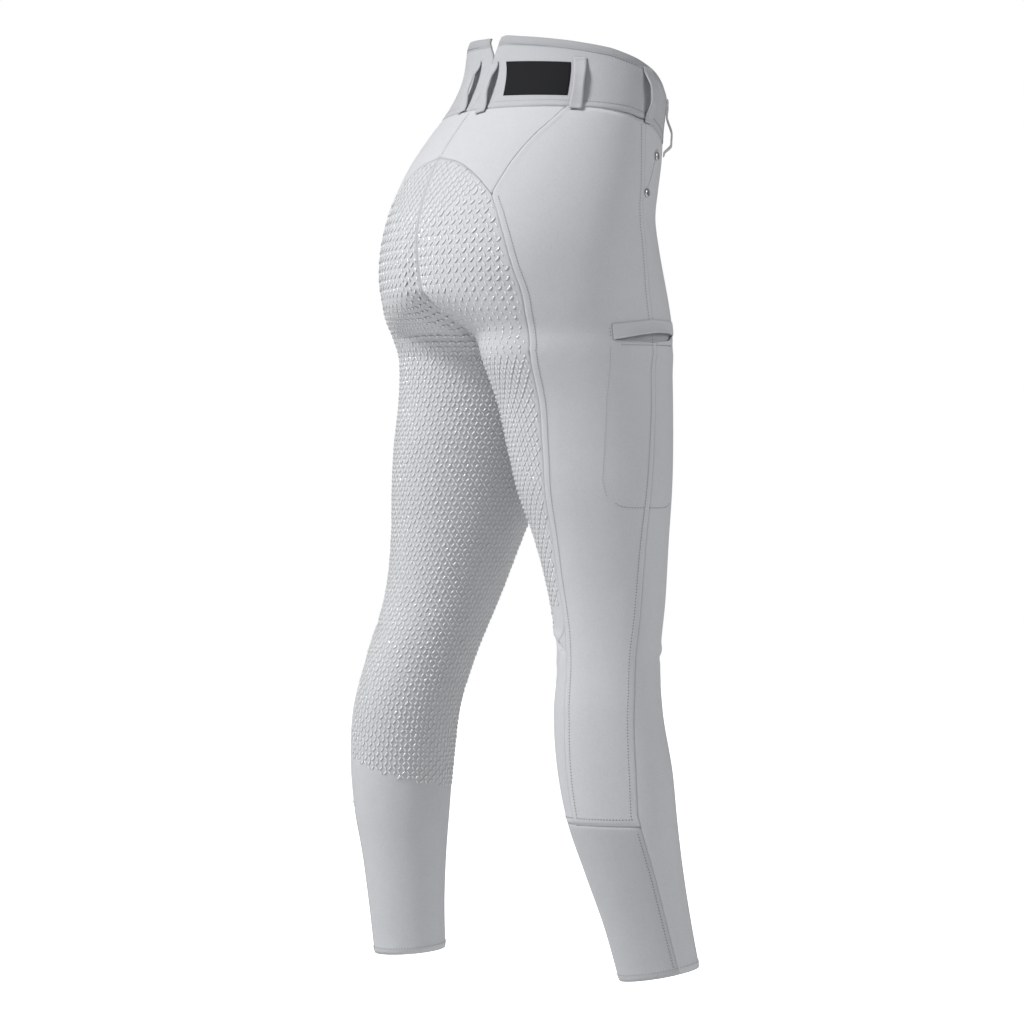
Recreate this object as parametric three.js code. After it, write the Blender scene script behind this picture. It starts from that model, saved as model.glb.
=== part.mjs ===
// Riding breeches, worn shape with no wearer. Millimetres, +Z up, +X the wearer's left, -Y the front.
// The origin is the middle of the waist. Every cut piece is a thin wall laid on one body surface.
import * as THREE from 'three';

// Cloth and trim sizes.
const CLOTH = 1.8; // main stretch cloth, wall
const BAND_CLOTH = 2.4; // waistband, two layers
const ELASTIC = 1.5; // calf insert, wall
const SEAM_GAP = 0.3; // between the pieces at a seam
const ON_TOP = 0.5; // between a panel and what is sewn on it
const LOOP_WIDTH = 13;
const LOOP_CLOTH = 1.6;
const RIVET_RADIUS = 4.2;
const SNAP_RADIUS = 7.5;
const POCKET_DEPTH = 6; // how far the bag of the thigh pocket stands off the leg behind its mouth
const BAND_LIFT = 0.6; // the waistband is thicker than the panels below it
const NOTCH_HALF_WIDTH = 9.5; // of the V in the waistband at the centre back
const NOTCH_FOOT_Z = 12;
const NOTCH_TOP_Z = 36;
const CROTCH_Z = -287;
const HEM_Z = -900;

const COLOURS = { cloth: 0xc9cbd0, grip: 0xc4c7cd, elastic: 0xb4b7bd, patch: 0x26282a, metal: 0xc8cacd };

// Torso sections: half width, y of the front, y of the back, fullness of each cheek.
const TORSO = [
  { z: 60, half: 124, front: -88, back: 79, cheek: 0 },
  { z: 30, half: 126, front: -90, back: 81, cheek: 0 },
  { z: 0, half: 129, front: -92, back: 87, cheek: 0 },
  { z: -30, half: 133, front: -93, back: 104, cheek: 0 },
  { z: -60, half: 139, front: -89, back: 128, cheek: 1 },
  { z: -90, half: 146, front: -86, back: 149, cheek: 2 },
  { z: -120, half: 153, front: -79, back: 163, cheek: 3 },
  { z: -150, half: 158, front: -73, back: 172, cheek: 4 },
  { z: -180, half: 161, front: -74, back: 177, cheek: 5 },
  { z: -210, half: 161, front: -76, back: 178, cheek: 5 },
  { z: -240, half: 160, front: -77, back: 174, cheek: 3 },
  { z: -285, half: 157, front: -78, back: 158, cheek: 0 },
];

// Hip and leg sections: the centre, the radii to the front, back, inside and outside, and the
// turn of the leg about its own line in degrees.
const HIP = [
  { z: -60, x: 66, y: 20, front: 100, back: 104, inner: 104, outer: 62, turn: 0 },
  { z: -120, x: 68, y: 38, front: 106, back: 122, inner: 98, outer: 80, turn: 0 },
  { z: -180, x: 73, y: 46, front: 112, back: 128, inner: 92, outer: 85, turn: 0 },
  { z: -215, x: 77, y: 45, front: 112, back: 124, inner: 89, outer: 83, turn: 0 },
  { z: -240, x: 79, y: 43, front: 111, back: 118, inner: 86, outer: 80, turn: 0 },
  { z: -262, x: 81, y: 41, front: 109, back: 104, inner: 84, outer: 78, turn: 0 },
];
const LEG = {
  right: [
    ...HIP,
    { z: -285, x: 83, y: 40, front: 107, back: 100, inner: 83, outer: 78, turn: 0 },
    { z: -300, x: 85, y: 39, front: 103, back: 96, inner: 80, outer: 77, turn: 1 },
    { z: -330, x: 88, y: 37, front: 98, back: 86, inner: 78, outer: 76, turn: 3 },
    { z: -375, x: 93, y: 34, front: 90, back: 80, inner: 74, outer: 74, turn: 8 },
    { z: -420, x: 99, y: 31, front: 81, back: 75, inner: 70, outer: 71, turn: 14 },
    { z: -470, x: 105, y: 27, front: 70, back: 64, inner: 62, outer: 63, turn: 21 },
    { z: -530, x: 112, y: 22, front: 58, back: 57, inner: 53, outer: 54, turn: 29 },
    { z: -590, x: 118, y: 23, front: 50, back: 52, inner: 48, outer: 49, turn: 34 },
    { z: -640, x: 123, y: 26, front: 52, back: 56, inner: 48, outer: 49, turn: 34 },
    { z: -700, x: 129, y: 22, front: 55, back: 59, inner: 48, outer: 49, turn: 34 },
    { z: -750, x: 134, y: 16, front: 52, back: 57, inner: 46, outer: 47, turn: 34 },
    { z: -800, x: 139, y: 6, front: 47, back: 51, inner: 42, outer: 43, turn: 34 },
    { z: -850, x: 144, y: -5, front: 43, back: 45, inner: 39, outer: 39, turn: 34 },
    { z: -910, x: 150, y: -18, front: 40, back: 42, inner: 37, outer: 37, turn: 34 },
  ],
  left: [
    ...HIP,
    { z: -285, x: 83, y: 38, front: 105, back: 93, inner: 83, outer: 78, turn: 0 },
    { z: -300, x: 85, y: 38, front: 102, back: 91, inner: 80, outer: 77, turn: 0 },
    { z: -330, x: 88, y: 39, front: 96, back: 89, inner: 78, outer: 76, turn: -2 },
    { z: -375, x: 93, y: 44, front: 88, back: 86, inner: 75, outer: 75, turn: -5 },
    { z: -420, x: 99, y: 51, front: 80, back: 78, inner: 71, outer: 71, turn: -8 },
    { z: -470, x: 105, y: 60, front: 70, back: 67, inner: 64, outer: 65, turn: -12 },
    { z: -530, x: 112, y: 74, front: 62, back: 58, inner: 56, outer: 57, turn: -18 },
    { z: -590, x: 118, y: 94, front: 57, back: 56, inner: 53, outer: 54, turn: -20 },
    { z: -640, x: 123, y: 106, front: 54, back: 57, inner: 53, outer: 54, turn: -20 },
    { z: -700, x: 129, y: 110, front: 53, back: 54, inner: 51, outer: 52, turn: -20 },
    { z: -750, x: 134, y: 107, front: 49, back: 50, inner: 49, outer: 50, turn: -20 },
    { z: -800, x: 139, y: 101, front: 43, back: 44, inner: 44, outer: 45, turn: -20 },
    { z: -850, x: 144, y: 95, front: 39, back: 40, inner: 41, outer: 42, turn: -20 },
    { z: -910, x: 150, y: 87, front: 37, back: 37, inner: 38, outer: 39, turn: -20 },
  ],
};

// Seam lines. u runs round each half: 0 at the centre front or inseam, 1 at the centre back or inseam.
const BAND_FRONT = [
  { u: 0, z: -31 }, { u: 0.15, z: -28 }, { u: 0.3, z: -17 }, { u: 0.4, z: -3 }, { u: 0.5, z: 8 },
];
const BAND_TOP = {
  right: [
    ...BAND_FRONT, { u: 0.6, z: 17 }, { u: 0.75, z: 26 }, { u: 0.85, z: 31.5 }, { u: 0.93, z: 35 },
    { u: 0.97, z: 35 }, { u: 1, z: 32 },
  ],
  left: [
    ...BAND_FRONT, { u: 0.6, z: 23 }, { u: 0.68, z: 34 }, { u: 0.75, z: 40.5 }, { u: 0.8, z: 41 },
    { u: 0.87, z: 39.5 }, { u: 0.95, z: 37.5 }, { u: 1, z: 37 },
  ],
};
const BAND_BOTTOM = [
  { u: 0, z: -81 }, { u: 0.15, z: -77 }, { u: 0.3, z: -66 }, { u: 0.4, z: -55 },
  { u: 0.5, z: -48 }, { u: 0.6, z: -45 }, { u: 0.75, z: -42 }, { u: 0.9, z: -40 }, { u: 1, z: -39 },
];
const SEAT_TOP = [
  { u: 0.803, z: -132 }, { u: 0.815, z: -127 }, { u: 0.839, z: -117 }, { u: 0.867, z: -108 },
  { u: 0.904, z: -99 }, { u: 0.935, z: -94 }, { u: 1, z: -88 },
];
// The seam from the waistband to the corner of the seat, then down the back of the side panel.
const SIDE_BACK = [
  { z: -44, u: 0.697 }, { z: -60, u: 0.722 }, { z: -71, u: 0.742 }, { z: -85, u: 0.76 },
  { z: -102, u: 0.778 }, { z: -120, u: 0.793 }, { z: -132, u: 0.803 },
];
const SEAT_SIDE = [
  { z: -132, u: 0.803 }, { z: -150, u: 0.782 }, { z: -173, u: 0.763 }, { z: -208, u: 0.739 },
  { z: -228, u: 0.724 }, { z: -260, u: 0.69 }, { z: -289, u: 0.66 }, { z: -327, u: 0.664 },
  { z: -400, u: 0.662 }, { z: -506, u: 0.667 }, { z: -556, u: 0.657 }, { z: -650, u: 0.652 },
  { z: -750, u: 0.672 },
];
const OUTSEAM = [
  { z: -53, u: 0.42 }, { z: -74, u: 0.407 }, { z: -120, u: 0.384 }, { z: -150, u: 0.379 },
  { z: -181, u: 0.385 }, { z: -221, u: 0.404 }, { z: -300, u: 0.427 }, { z: -418, u: 0.422 },
  { z: -556, u: 0.418 }, { z: -620, u: 0.425 }, { z: -684, u: 0.446 }, { z: -740, u: 0.461 },
  { z: -804, u: 0.44 }, { z: -905, u: 0.424 },
];
const INNER_FRONT = [
  { z: -287, u: 0 }, { z: -300, u: 0.06 }, { z: -320, u: 0.12 }, { z: -350, u: 0.17 },
  { z: -400, u: 0.21 }, { z: -460, u: 0.228 }, { z: -905, u: 0.235 },
];
const CALF_BACK = [
  { z: -556, u: 0.657 }, { z: -575, u: 0.695 }, { z: -600, u: 0.728 }, { z: -630, u: 0.747 },
  { z: -660, u: 0.75 }, { z: -905, u: 0.75 },
];
// The mouth of the thigh pocket: its upper and lower edges. It crosses the outer seam, and the panel
// rows at MOUTH_ROW and next below it part along it.
const MOUTH = [
  { u: 0.324, up: -266.2, low: -266.8 }, { u: 0.371, up: -264.9, low: -272.5 },
  { u: 0.417, up: -265.8, low: -275 }, { u: 0.466, up: -269.5, low: -275.3 },
  { u: 0.516, up: -274.4, low: -275 },
];
const MOUTH_ROW = -269;
const WELT_TOP = [
  { u: 0.324, z: -252.8 }, { u: 0.417, z: -252.7 }, { u: 0.466, z: -256 }, { u: 0.517, z: -259.4 },
];
const BAG_BACK_EDGE = [
  { z: -257, u: 0.517 }, { z: -302, u: 0.522 }, { z: -334, u: 0.532 }, { z: -412, u: 0.535 },
  { z: -436, u: 0.5 },
];
// How far the hem falls below or rises above its height at the back, at the side and at the front.
const HEM_FALL = { right: 7, left: 3 };

// Rows shared by the panels of a leg, and the upper rows of a panel that starts on a sloping edge.
const LEG_ROWS = [
  -150, -178, -204, -226, -243, -257, -269, -279, -287, -296, -309, -327, -350, -377, -406, -436, -466,
  -496, -526, -556, -580, -612, -646, -681, -716, -750,
];
const INSERT_ROWS = [-750, -780, -810, -840, -870, HEM_Z];
const SIDE_BACK_ROWS = [-44, -64, -86, -110, -132, -141, -150];
const CENTRE_BACK_ROWS = [-39, -51, -63, -76, -88, -119, -150];
const FRONT_ROW_SHARES = [0, 0.2, 0.42, 0.66, 0.83, 0.92, 1];

const lerp = (a, b, t) => a + (b - a) * t;
const clamp = (value, low, high) => Math.min(high, Math.max(low, value));
const smooth = (a, b, value) => {
  const t = clamp((value - a) / (b - a), 0, 1);
  return t * t * (3 - 2 * t);
};

// The value of a column at a height, on a cubic through the rows, which run from the top down.
function column(rows, key, z) {
  let i = rows.length - 2;
  while (i > 0 && rows[i].z < z) i -= 1;
  const slope = (k) => {
    const up = rows[Math.max(k - 1, 0)];
    const at = rows[k];
    const down = rows[Math.min(k + 1, rows.length - 1)];
    if (k === 0 || k === rows.length - 1) return (down[key] - up[key]) / (down.z - up.z);
    const a = at.z - down.z;
    const b = up.z - at.z;
    return ((b * (at[key] - down[key])) / a + (a * (up[key] - at[key])) / b) / (a + b);
  };
  const low = rows[i + 1];
  const high = rows[i];
  const span = high.z - low.z;
  const t = clamp((z - low.z) / span, 0, 1);
  return (
    (2 * t ** 3 - 3 * t ** 2 + 1) * low[key] +
    (t ** 3 - 2 * t ** 2 + t) * span * slope(i + 1) +
    (3 * t ** 2 - 2 * t ** 3) * high[key] +
    (t ** 3 - t ** 2) * span * slope(i)
  );
}

// A seam line's value at a given place on it, straight between the rows.
function along(rows, from, to, at) {
  const rising = rows[1][from] > rows[0][from];
  let i = 0;
  while (i < rows.length - 2 && (rising ? at > rows[i + 1][from] : at < rows[i + 1][from])) i += 1;
  const t = clamp((at - rows[i][from]) / (rows[i + 1][from] - rows[i][from]), 0, 1);
  return lerp(rows[i][to], rows[i + 1][to], t);
}
const zOn = (rows, u) => along(rows, 'u', 'z', u);
const uOn = (rows, z) => along(rows, 'z', 'u', z);

// The body surface at u and z. Above the crotch the two legs' ovals are cut off by the middle plane.
function bodyPoint(side, u, z) {
  const get = (key) => column(LEG[side], key, z);
  const x = get('x');
  const spread = 0.02 * Math.abs(z - CROTCH_Z);
  const inner = z > CROTCH_Z ? Math.max(get('inner'), x + spread) : Math.min(get('inner'), x - spread);
  const end = z > CROTCH_Z ? Math.acos(clamp(-x / inner, -1, 1)) : Math.PI;
  const angle = (2 * u - 1) * end;
  const c = Math.cos(angle);
  const s = Math.sin(angle);
  const ax = (c > 0 ? get('outer') : inner) * c;
  const ay = (s > 0 ? get('back') : get('front')) * s;
  const turn = (get('turn') * Math.PI) / 180;
  const legX = x + ax * Math.cos(turn) - ay * Math.sin(turn);
  const legY = get('y') + ay * Math.cos(turn) + ax * Math.sin(turn);
  const front = column(TORSO, 'front', z);
  const back = column(TORSO, 'back', z);
  const full = 1 + (column(TORSO, 'cheek', z) / 150) * Math.sin(Math.PI * clamp((u - 0.6) / 0.4, 0, 1)) ** 2;
  const torsoX = column(TORSO, 'half', z) * Math.sin(Math.PI * u) * full;
  const torsoY = (front + back) / 2 - ((back - front) / 2) * Math.cos(Math.PI * u) * full;
  const share = smooth(0.35, 0.6, u);
  const legShare = (1 - smooth(-275, -130, z)) * (1 - share) + (1 - smooth(-292, -222, z)) * share;
  const sign = side === 'right' ? -1 : 1;
  return new THREE.Vector3(sign * lerp(torsoX, legX, legShare), lerp(torsoY, legY, legShare), z);
}

function bodyNormal(side, u, z) {
  const du = 0.002;
  const dz = 1;
  const below = z > CROTCH_Z && z - dz <= CROTCH_Z;
  const above = z <= CROTCH_Z && z + dz > CROTCH_Z;
  const low = z > CROTCH_Z ? Math.max(u - du, 0) : u - du;
  const high = z > CROTCH_Z ? Math.min(u + du, 1) : u + du;
  const acrossU = bodyPoint(side, high, z).sub(bodyPoint(side, low, z));
  const acrossZ = bodyPoint(side, u, above ? z : z + dz).sub(bodyPoint(side, u, below ? z : z - dz));
  const normal = side === 'right' ? acrossZ.cross(acrossU) : acrossU.cross(acrossZ);
  return normal.normalize();
}

// Points of one row of a panel, even in u between the two seams.
const evenRow = (u0, z0, u1, z1, count) =>
  Array.from({ length: count + 1 }, (_, j) => ({ u: lerp(u0, u1, j / count), z: lerp(z0, z1, j / count) }));

// Moves the points of a panel's edge inwards by half a seam gap, in the surface.
function insetEdges(points) {
  const rows = points.length;
  const columns = points[0].length;
  const moved = points.map((row) => row.map((p) => p.clone()));
  const step = (i, j, di, dj, along1, along2) => {
    const edge = along2.clone().sub(along1);
    if (edge.length() < 1e-6) return;
    edge.normalize();
    let k = 1;
    let inside = null;
    while (k < Math.max(rows, columns)) {
      const row = points[i + di * k];
      const p = row && row[j + dj * k];
      if (!p) return;
      inside = p.clone().sub(points[i][j]);
      inside.addScaledVector(edge, -inside.dot(edge));
      if (inside.length() > 1e-3) break;
      k += 1;
    }
    moved[i][j].addScaledVector(inside.normalize(), SEAM_GAP / 2);
  };
  for (let i = 0; i < rows; i += 1) {
    const up = points[Math.max(i - 1, 0)];
    const down = points[Math.min(i + 1, rows - 1)];
    step(i, 0, 0, 1, up[0], down[0]);
    step(i, columns - 1, 0, -1, up[columns - 1], down[columns - 1]);
  }
  for (let j = 0; j < columns; j += 1) {
    const a = Math.max(j - 1, 0);
    const b = Math.min(j + 1, columns - 1);
    step(0, j, 1, 0, points[0][a], points[0][b]);
    step(rows - 1, j, -1, 0, points[rows - 1][a], points[rows - 1][b]);
  }
  return moved;
}

// A closed wall from an outer and an inner grid of points, without the cells for which open(row,
// column) is true. flip turns the faces round.
function wallGeometry(outer, inner, flip, open = () => false) {
  const rows = outer.length - 1;
  const columns = outer[0].length - 1;
  const faces = [];
  const triangle = (a, b, c) => {
    const area = new THREE.Triangle(a, b, c).getArea();
    if (area > 1e-7) faces.push(flip ? [a, c, b] : [a, b, c]);
  };
  const quad = (a, b, c, d) => {
    triangle(a, b, c);
    triangle(a, c, d);
  };
  const isWall = (i, j) => i >= 0 && j >= 0 && i < rows && j < columns && !open(i, j);
  for (let i = 0; i < rows; i += 1) {
    for (let j = 0; j < columns; j += 1) {
      if (!isWall(i, j)) continue;
      const [a, b, c, d] = [outer[i][j], outer[i + 1][j], outer[i + 1][j + 1], outer[i][j + 1]];
      const [e, f, g, h] = [inner[i][j], inner[i + 1][j], inner[i + 1][j + 1], inner[i][j + 1]];
      quad(a, b, c, d);
      quad(e, h, g, f);
      if (!isWall(i, j - 1)) quad(a, e, f, b);
      if (!isWall(i, j + 1)) quad(d, c, g, h);
      if (!isWall(i - 1, j)) quad(a, d, h, e);
      if (!isWall(i + 1, j)) quad(b, f, g, c);
    }
  }
  const geometry = new THREE.BufferGeometry();
  const positions = faces.flat().flatMap((p) => [p.x, p.y, p.z]);
  geometry.setAttribute('position', new THREE.Float32BufferAttribute(positions, 3));
  geometry.computeVertexNormals();
  return geometry;
}

const materials = {};
for (const [slot, color] of Object.entries(COLOURS)) {
  const metal = slot === 'metal';
  const roughness = metal ? 0.25 : 0.85;
  const metalness = metal ? 1 : 0;
  materials[slot] = new THREE.MeshStandardMaterial({ name: slot, color, roughness, metalness });
}
const group = new THREE.Group();

function addMesh(name, slot, geometry) {
  const mesh = new THREE.Mesh(geometry, materials[slot]);
  mesh.name = name;
  group.add(mesh);
}

// Keeps a point of one half on its own side of the middle plane.
function keepSide(side, p) {
  const limit = SEAM_GAP / 2;
  p.x = side === 'right' ? Math.min(p.x, -limit) : Math.max(p.x, limit);
  return p;
}

// A panel: a wall on the body surface through rows of { u, z }, its outer face lift(at) off the surface.
// onMiddle says whether a column lies on the middle plane, where both faces stay by that plane.
function addPanel(name, slot, side, rows, options = {}) {
  const { lift = () => 0, cloth = CLOTH, onMiddle = () => false, open } = options;
  const middle = (SEAM_GAP / 2) * (side === 'right' ? -1 : 1);
  const face = (down) =>
    rows.map((row) =>
      row.map((at) => {
        const p = bodyPoint(side, at.u, at.z).addScaledVector(bodyNormal(side, at.u, at.z), lift(at) - down);
        if (onMiddle(at)) p.x = middle;
        return keepSide(side, p);
      }),
    );
  const outer = insetEdges(face(0));
  const inner = insetEdges(face(cloth));
  addMesh(name, slot, wallGeometry(outer, inner, side === 'right', open));
}

const atMiddle = (at) => at.z > CROTCH_Z - 1e-6 && (at.u < 1e-6 || at.u > 1 - 1e-6);
const hemmed = (side, u, z) => {
  const share = clamp((-800 - z) / 100, 0, 1);
  return z - HEM_FALL[side] * share * Math.cos(2 * Math.PI * (u - 0.75));
};

const FRONT_COLUMNS = 9;
const SIDE_COLUMNS = 6;
const YOKE_COLUMNS = 8;
const CALF_COLUMNS = 2;
const SEAT_COLUMNS = 8;
const INNER_COLUMNS = 7;

function frontRows(side) {
  const outUpper = FRONT_ROW_SHARES.map((t) => lerp(-53, -150, t));
  const middleUpper = FRONT_ROW_SHARES.map((t) => lerp(-81, -150, t));
  const upper = outUpper.map((z, i) => {
    const u1 = uOn(OUTSEAM, z);
    return evenRow(0, middleUpper[i], u1, z, FRONT_COLUMNS);
  });
  upper[0] = upper[0].map((at) => ({ u: at.u, z: zOn(BAND_BOTTOM, at.u) }));
  const lower = [...LEG_ROWS.slice(1), ...INSERT_ROWS.slice(1)].map((z) => {
    const u0 = z < CROTCH_Z ? uOn(INNER_FRONT, z) : 0;
    const row = evenRow(u0, z, uOn(OUTSEAM, z), z, FRONT_COLUMNS);
    return row.map((at) => ({ u: at.u, z: hemmed(side, at.u, z) }));
  });
  return [...upper, ...lower];
}

function sideRows() {
  const upper = SIDE_BACK_ROWS.map((zBack, i) => {
    const zFront = lerp(-53, -150, FRONT_ROW_SHARES[i]);
    const u1 = zBack > -132 ? uOn(SIDE_BACK, zBack) : uOn(SEAT_SIDE, zBack);
    return evenRow(uOn(OUTSEAM, zFront), zFront, u1, zBack, SIDE_COLUMNS);
  });
  upper[0] = upper[0].map((at) => ({ u: at.u, z: zOn(BAND_BOTTOM, at.u) }));
  const lower = LEG_ROWS.slice(1).map((z) => evenRow(uOn(OUTSEAM, z), z, uOn(SEAT_SIDE, z), z, SIDE_COLUMNS));
  return [...upper, ...lower];
}

const seatTopRow = evenRow(0.803, 0, 1, 0, YOKE_COLUMNS).map((at) => ({ u: at.u, z: zOn(SEAT_TOP, at.u) }));

function yokeRows() {
  const rows = SIDE_BACK_ROWS.slice(0, 5).map((z, i) => {
    return evenRow(uOn(SIDE_BACK, z), z, 1, CENTRE_BACK_ROWS[i], YOKE_COLUMNS);
  });
  rows[0] = rows[0].map((at) => ({ u: at.u, z: zOn(BAND_BOTTOM, at.u) }));
  rows[4] = seatTopRow;
  for (const i of [1, 2, 3]) {
    rows[i] = rows[i].map((at, j) => ({ u: at.u, z: lerp(rows[0][j].z, rows[4][j].z, i / 4) }));
    rows[i][0].z = SIDE_BACK_ROWS[i];
    rows[i][0].u = uOn(SIDE_BACK, SIDE_BACK_ROWS[i]);
  }
  return rows;
}

// The seat and the inside of the leg are one piece, which goes round the inseam below the crotch.
function seatRows(side) {
  const inner = (z) => (z < CROTCH_Z ? uOn(INNER_FRONT, z) : 0);
  const full = (row, z) => {
    const wrap = evenRow(1, z, 1 + inner(z), z, INNER_COLUMNS).slice(1);
    return [...row, ...wrap];
  };
  const middle = evenRow(uOn(SEAT_SIDE, -141), -141, 1, -119, SEAT_COLUMNS);
  const top = [full(seatTopRow, seatTopRow[YOKE_COLUMNS].z), full(middle, -119)];
  const back = (z) => (z > -556 ? uOn(SEAT_SIDE, z) : uOn(CALF_BACK, z));
  const lower = [...LEG_ROWS, ...INSERT_ROWS.slice(1)].map((z) => {
    const row = full(evenRow(back(z), z, 1, z, SEAT_COLUMNS), z);
    return row.map((at) => ({ u: at.u, z: hemmed(side, at.u, z) }));
  });
  return [...top, ...lower];
}

function calfRows() {
  return LEG_ROWS.filter((z) => z <= -556).map((z) =>
    evenRow(uOn(SEAT_SIDE, z), z, uOn(CALF_BACK, z), z, CALF_COLUMNS),
  );
}

function insertRows(side) {
  return INSERT_ROWS.map((z, i) => {
    const u0 = uOn(OUTSEAM, z);
    const u1 = uOn(CALF_BACK, z);
    const part = i === 0 ? uOn(SEAT_SIDE, z) : lerp(u0, u1, SIDE_COLUMNS / (SIDE_COLUMNS + CALF_COLUMNS));
    const row = [...evenRow(u0, z, part, z, SIDE_COLUMNS), ...evenRow(part, z, u1, z, CALF_COLUMNS).slice(1)];
    return row.map((at) => ({ u: at.u, z: hemmed(side, at.u, z) }));
  });
}

// The waistband's rows follow the tops of the panels below it, so that their points meet.
function bandRows(side) {
  const tops = [frontRows(side)[0], sideRows()[0].slice(1), yokeRows()[0].slice(1)].flat();
  return [1, 0.84, 0.68, 0.52, 0.36, 0.18, 0].map((share) =>
    tops.map((at) => ({ u: at.u, z: lerp(zOn(BAND_BOTTOM, at.u), zOn(BAND_TOP[side], at.u), share) })),
  );
}

// Each half of the waistband, with the V notch between the halves at the centre back.
function addBand(side) {
  const sign = side === 'right' ? -1 : 1;
  const face = (height) =>
    bandRows(side).map((row) =>
      row.map((at) => {
        const p = bodyPoint(side, at.u, at.z).addScaledVector(bodyNormal(side, at.u, at.z), height);
        if (at.u > 1 - 1e-6) p.x = sign * NOTCH_HALF_WIDTH * smooth(NOTCH_FOOT_Z, NOTCH_TOP_Z, p.z);
        if (at.u < 1e-6) p.x = 0;
        return p;
      }),
    );
  const outer = insetEdges(face(BAND_LIFT)).map((row) => row.map((p) => keepSide(side, p)));
  const inner = insetEdges(face(BAND_LIFT - BAND_CLOTH)).map((row) => row.map((p) => keepSide(side, p)));
  addMesh(`waistband_${side}`, 'cloth', wallGeometry(outer, inner, side === 'right'));
}

// A flat strip laid from one place on the surface to another. height(t) is how far its inner face
// stands off, width(t) its width, both in millimetres along its length.
function addStrip(name, slot, side, from, to, { width, height, cloth, steps = 8, columns = 2 }) {
  const centre = [];
  for (let i = 0; i <= steps; i += 1) {
    const t = i / steps;
    const u = lerp(from.u, to.u, t);
    const z = lerp(from.z, to.z, t);
    centre.push({ u, z, t, p: bodyPoint(side, u, z), n: bodyNormal(side, u, z) });
  }
  const lengthwise = centre[steps].p.clone().sub(centre[0].p).normalize();
  const faces = [cloth, 0].map((thick) =>
    centre.map(({ t, p, n }) => {
      const across = new THREE.Vector3().crossVectors(lengthwise, n).normalize();
      return Array.from({ length: columns + 1 }, (_, j) => {
        const offset = (j / columns - 0.5) * width(t);
        return p.clone().addScaledVector(n, height(t) + thick).addScaledVector(across, offset);
      });
    }),
  );
  addMesh(name, slot, wallGeometry(faces[0], faces[1], true));
}

// Belt loops: u and z of the middle of the top and of the foot, and how far the feet and the slack
// stand off the body surface. A low one hangs out in its lower half.
const LOOPS = [
  { at: 'back_a', side: 'left', u0: 0.93, z0: 14, u1: 0.967, z1: -45, foot: 1.7, slack: 7 },
  { at: 'back_b', side: 'right', u0: 0.975, z0: 13, u1: 0.93, z1: -46, foot: 1.7, slack: 7 },
  { at: 'hip_right', side: 'right', u0: 0.701, z0: 9, u1: 0.667, z1: -48, foot: 1.5, slack: 5 },
  { at: 'hip_left', side: 'left', u0: 0.625, z0: 4, u1: 0.595, z1: -50, foot: 1.5, slack: 3 },
  { at: 'side_right', side: 'right', u0: 0.453, z0: 1, u1: 0.408, z1: -57, foot: 1.2, slack: 8 },
  { at: 'side_left', side: 'left', u0: 0.453, z0: 1, u1: 0.408, z1: -57, foot: 1.2, slack: 8 },
  { at: 'front_right', side: 'right', u0: 0.262, z0: -22, u1: 0.238, z1: -84, foot: 1, slack: 7, low: true },
  { at: 'front_left', side: 'left', u0: 0.262, z0: -22, u1: 0.238, z1: -84, foot: 1, slack: 7, low: true },
];

function addLoops() {
  for (const row of LOOPS) {
    const [full, fall] = row.low ? [0.6, 0.8] : [0.3, 0.7];
    const rise = (t) => smooth(full - 0.22, full, t) * (1 - smooth(fall, lerp(fall, 1, 0.7), t));
    const height = (t) => row.foot + row.slack * rise(t);
    const from = { u: row.u0, z: row.z0 };
    const to = { u: row.u1, z: row.z1 };
    const shape = { width: () => LOOP_WIDTH, height, cloth: LOOP_CLOTH, steps: 12 };
    addStrip(`belt_loop_${row.at}`, 'cloth', row.side, from, to, shape);
  }
}

// A piece sewn on a panel. Each row of the table gives its two edges at one place down its length.
function addSewnOn(name, slot, side, table, { columns, cloth, lift = () => ON_TOP }) {
  const grid = table.map((row) => evenRow(row.u0, row.z0, row.u1, row.z1, columns));
  addPanel(name, slot, side, grid, { lift: (at) => lift(at) + cloth, cloth });
}

// The bare rectangle on the waistband, right of the centre back.
function addLabelPatch() {
  const table = [0, 0.5, 1].map((t) => ({
    u0: lerp(0.727, 0.706, t), z0: lerp(5, -30, t), u1: lerp(0.94, 0.9, t), z1: lerp(9, -28, t),
  }));
  const lift = () => BAND_LIFT + 2 * ON_TOP;
  addSewnOn('label_patch', 'patch', 'right', table, { columns: 8, cloth: 0.9, lift });
}

// Parts the rows of a right-hand panel along the pocket's mouth, over its columns from first to last,
// of which one is the outer seam and the other the mouth's end. Returns which cells are open.
function openMouth(rows, first, last) {
  const i = rows.findIndex((row) => row.some((at) => at.z === MOUTH_ROW));
  const [end, endU] = first === 0 ? [last, MOUTH.at(-1).u] : [first, MOUTH[0].u];
  for (const [edge, row] of [['up', rows[i]], ['low', rows[i + 1]]]) {
    row[end].u = endU;
    for (const at of row.slice(first, last + 1)) at.z = along(MOUTH, 'u', edge, at.u);
  }
  return (k, j) => k === i && j >= first && j < last;
}

function addFront(side) {
  const rows = frontRows(side);
  const open = side === 'right' ? openMouth(rows, FRONT_COLUMNS - 2, FRONT_COLUMNS) : undefined;
  addPanel(`front_${side}`, 'cloth', side, rows, { onMiddle: atMiddle, open });
}

function addSide(side) {
  const rows = sideRows();
  const open = side === 'right' ? openMouth(rows, 0, 2) : undefined;
  addPanel(`side_${side}`, 'cloth', side, rows, { open });
}

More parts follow.
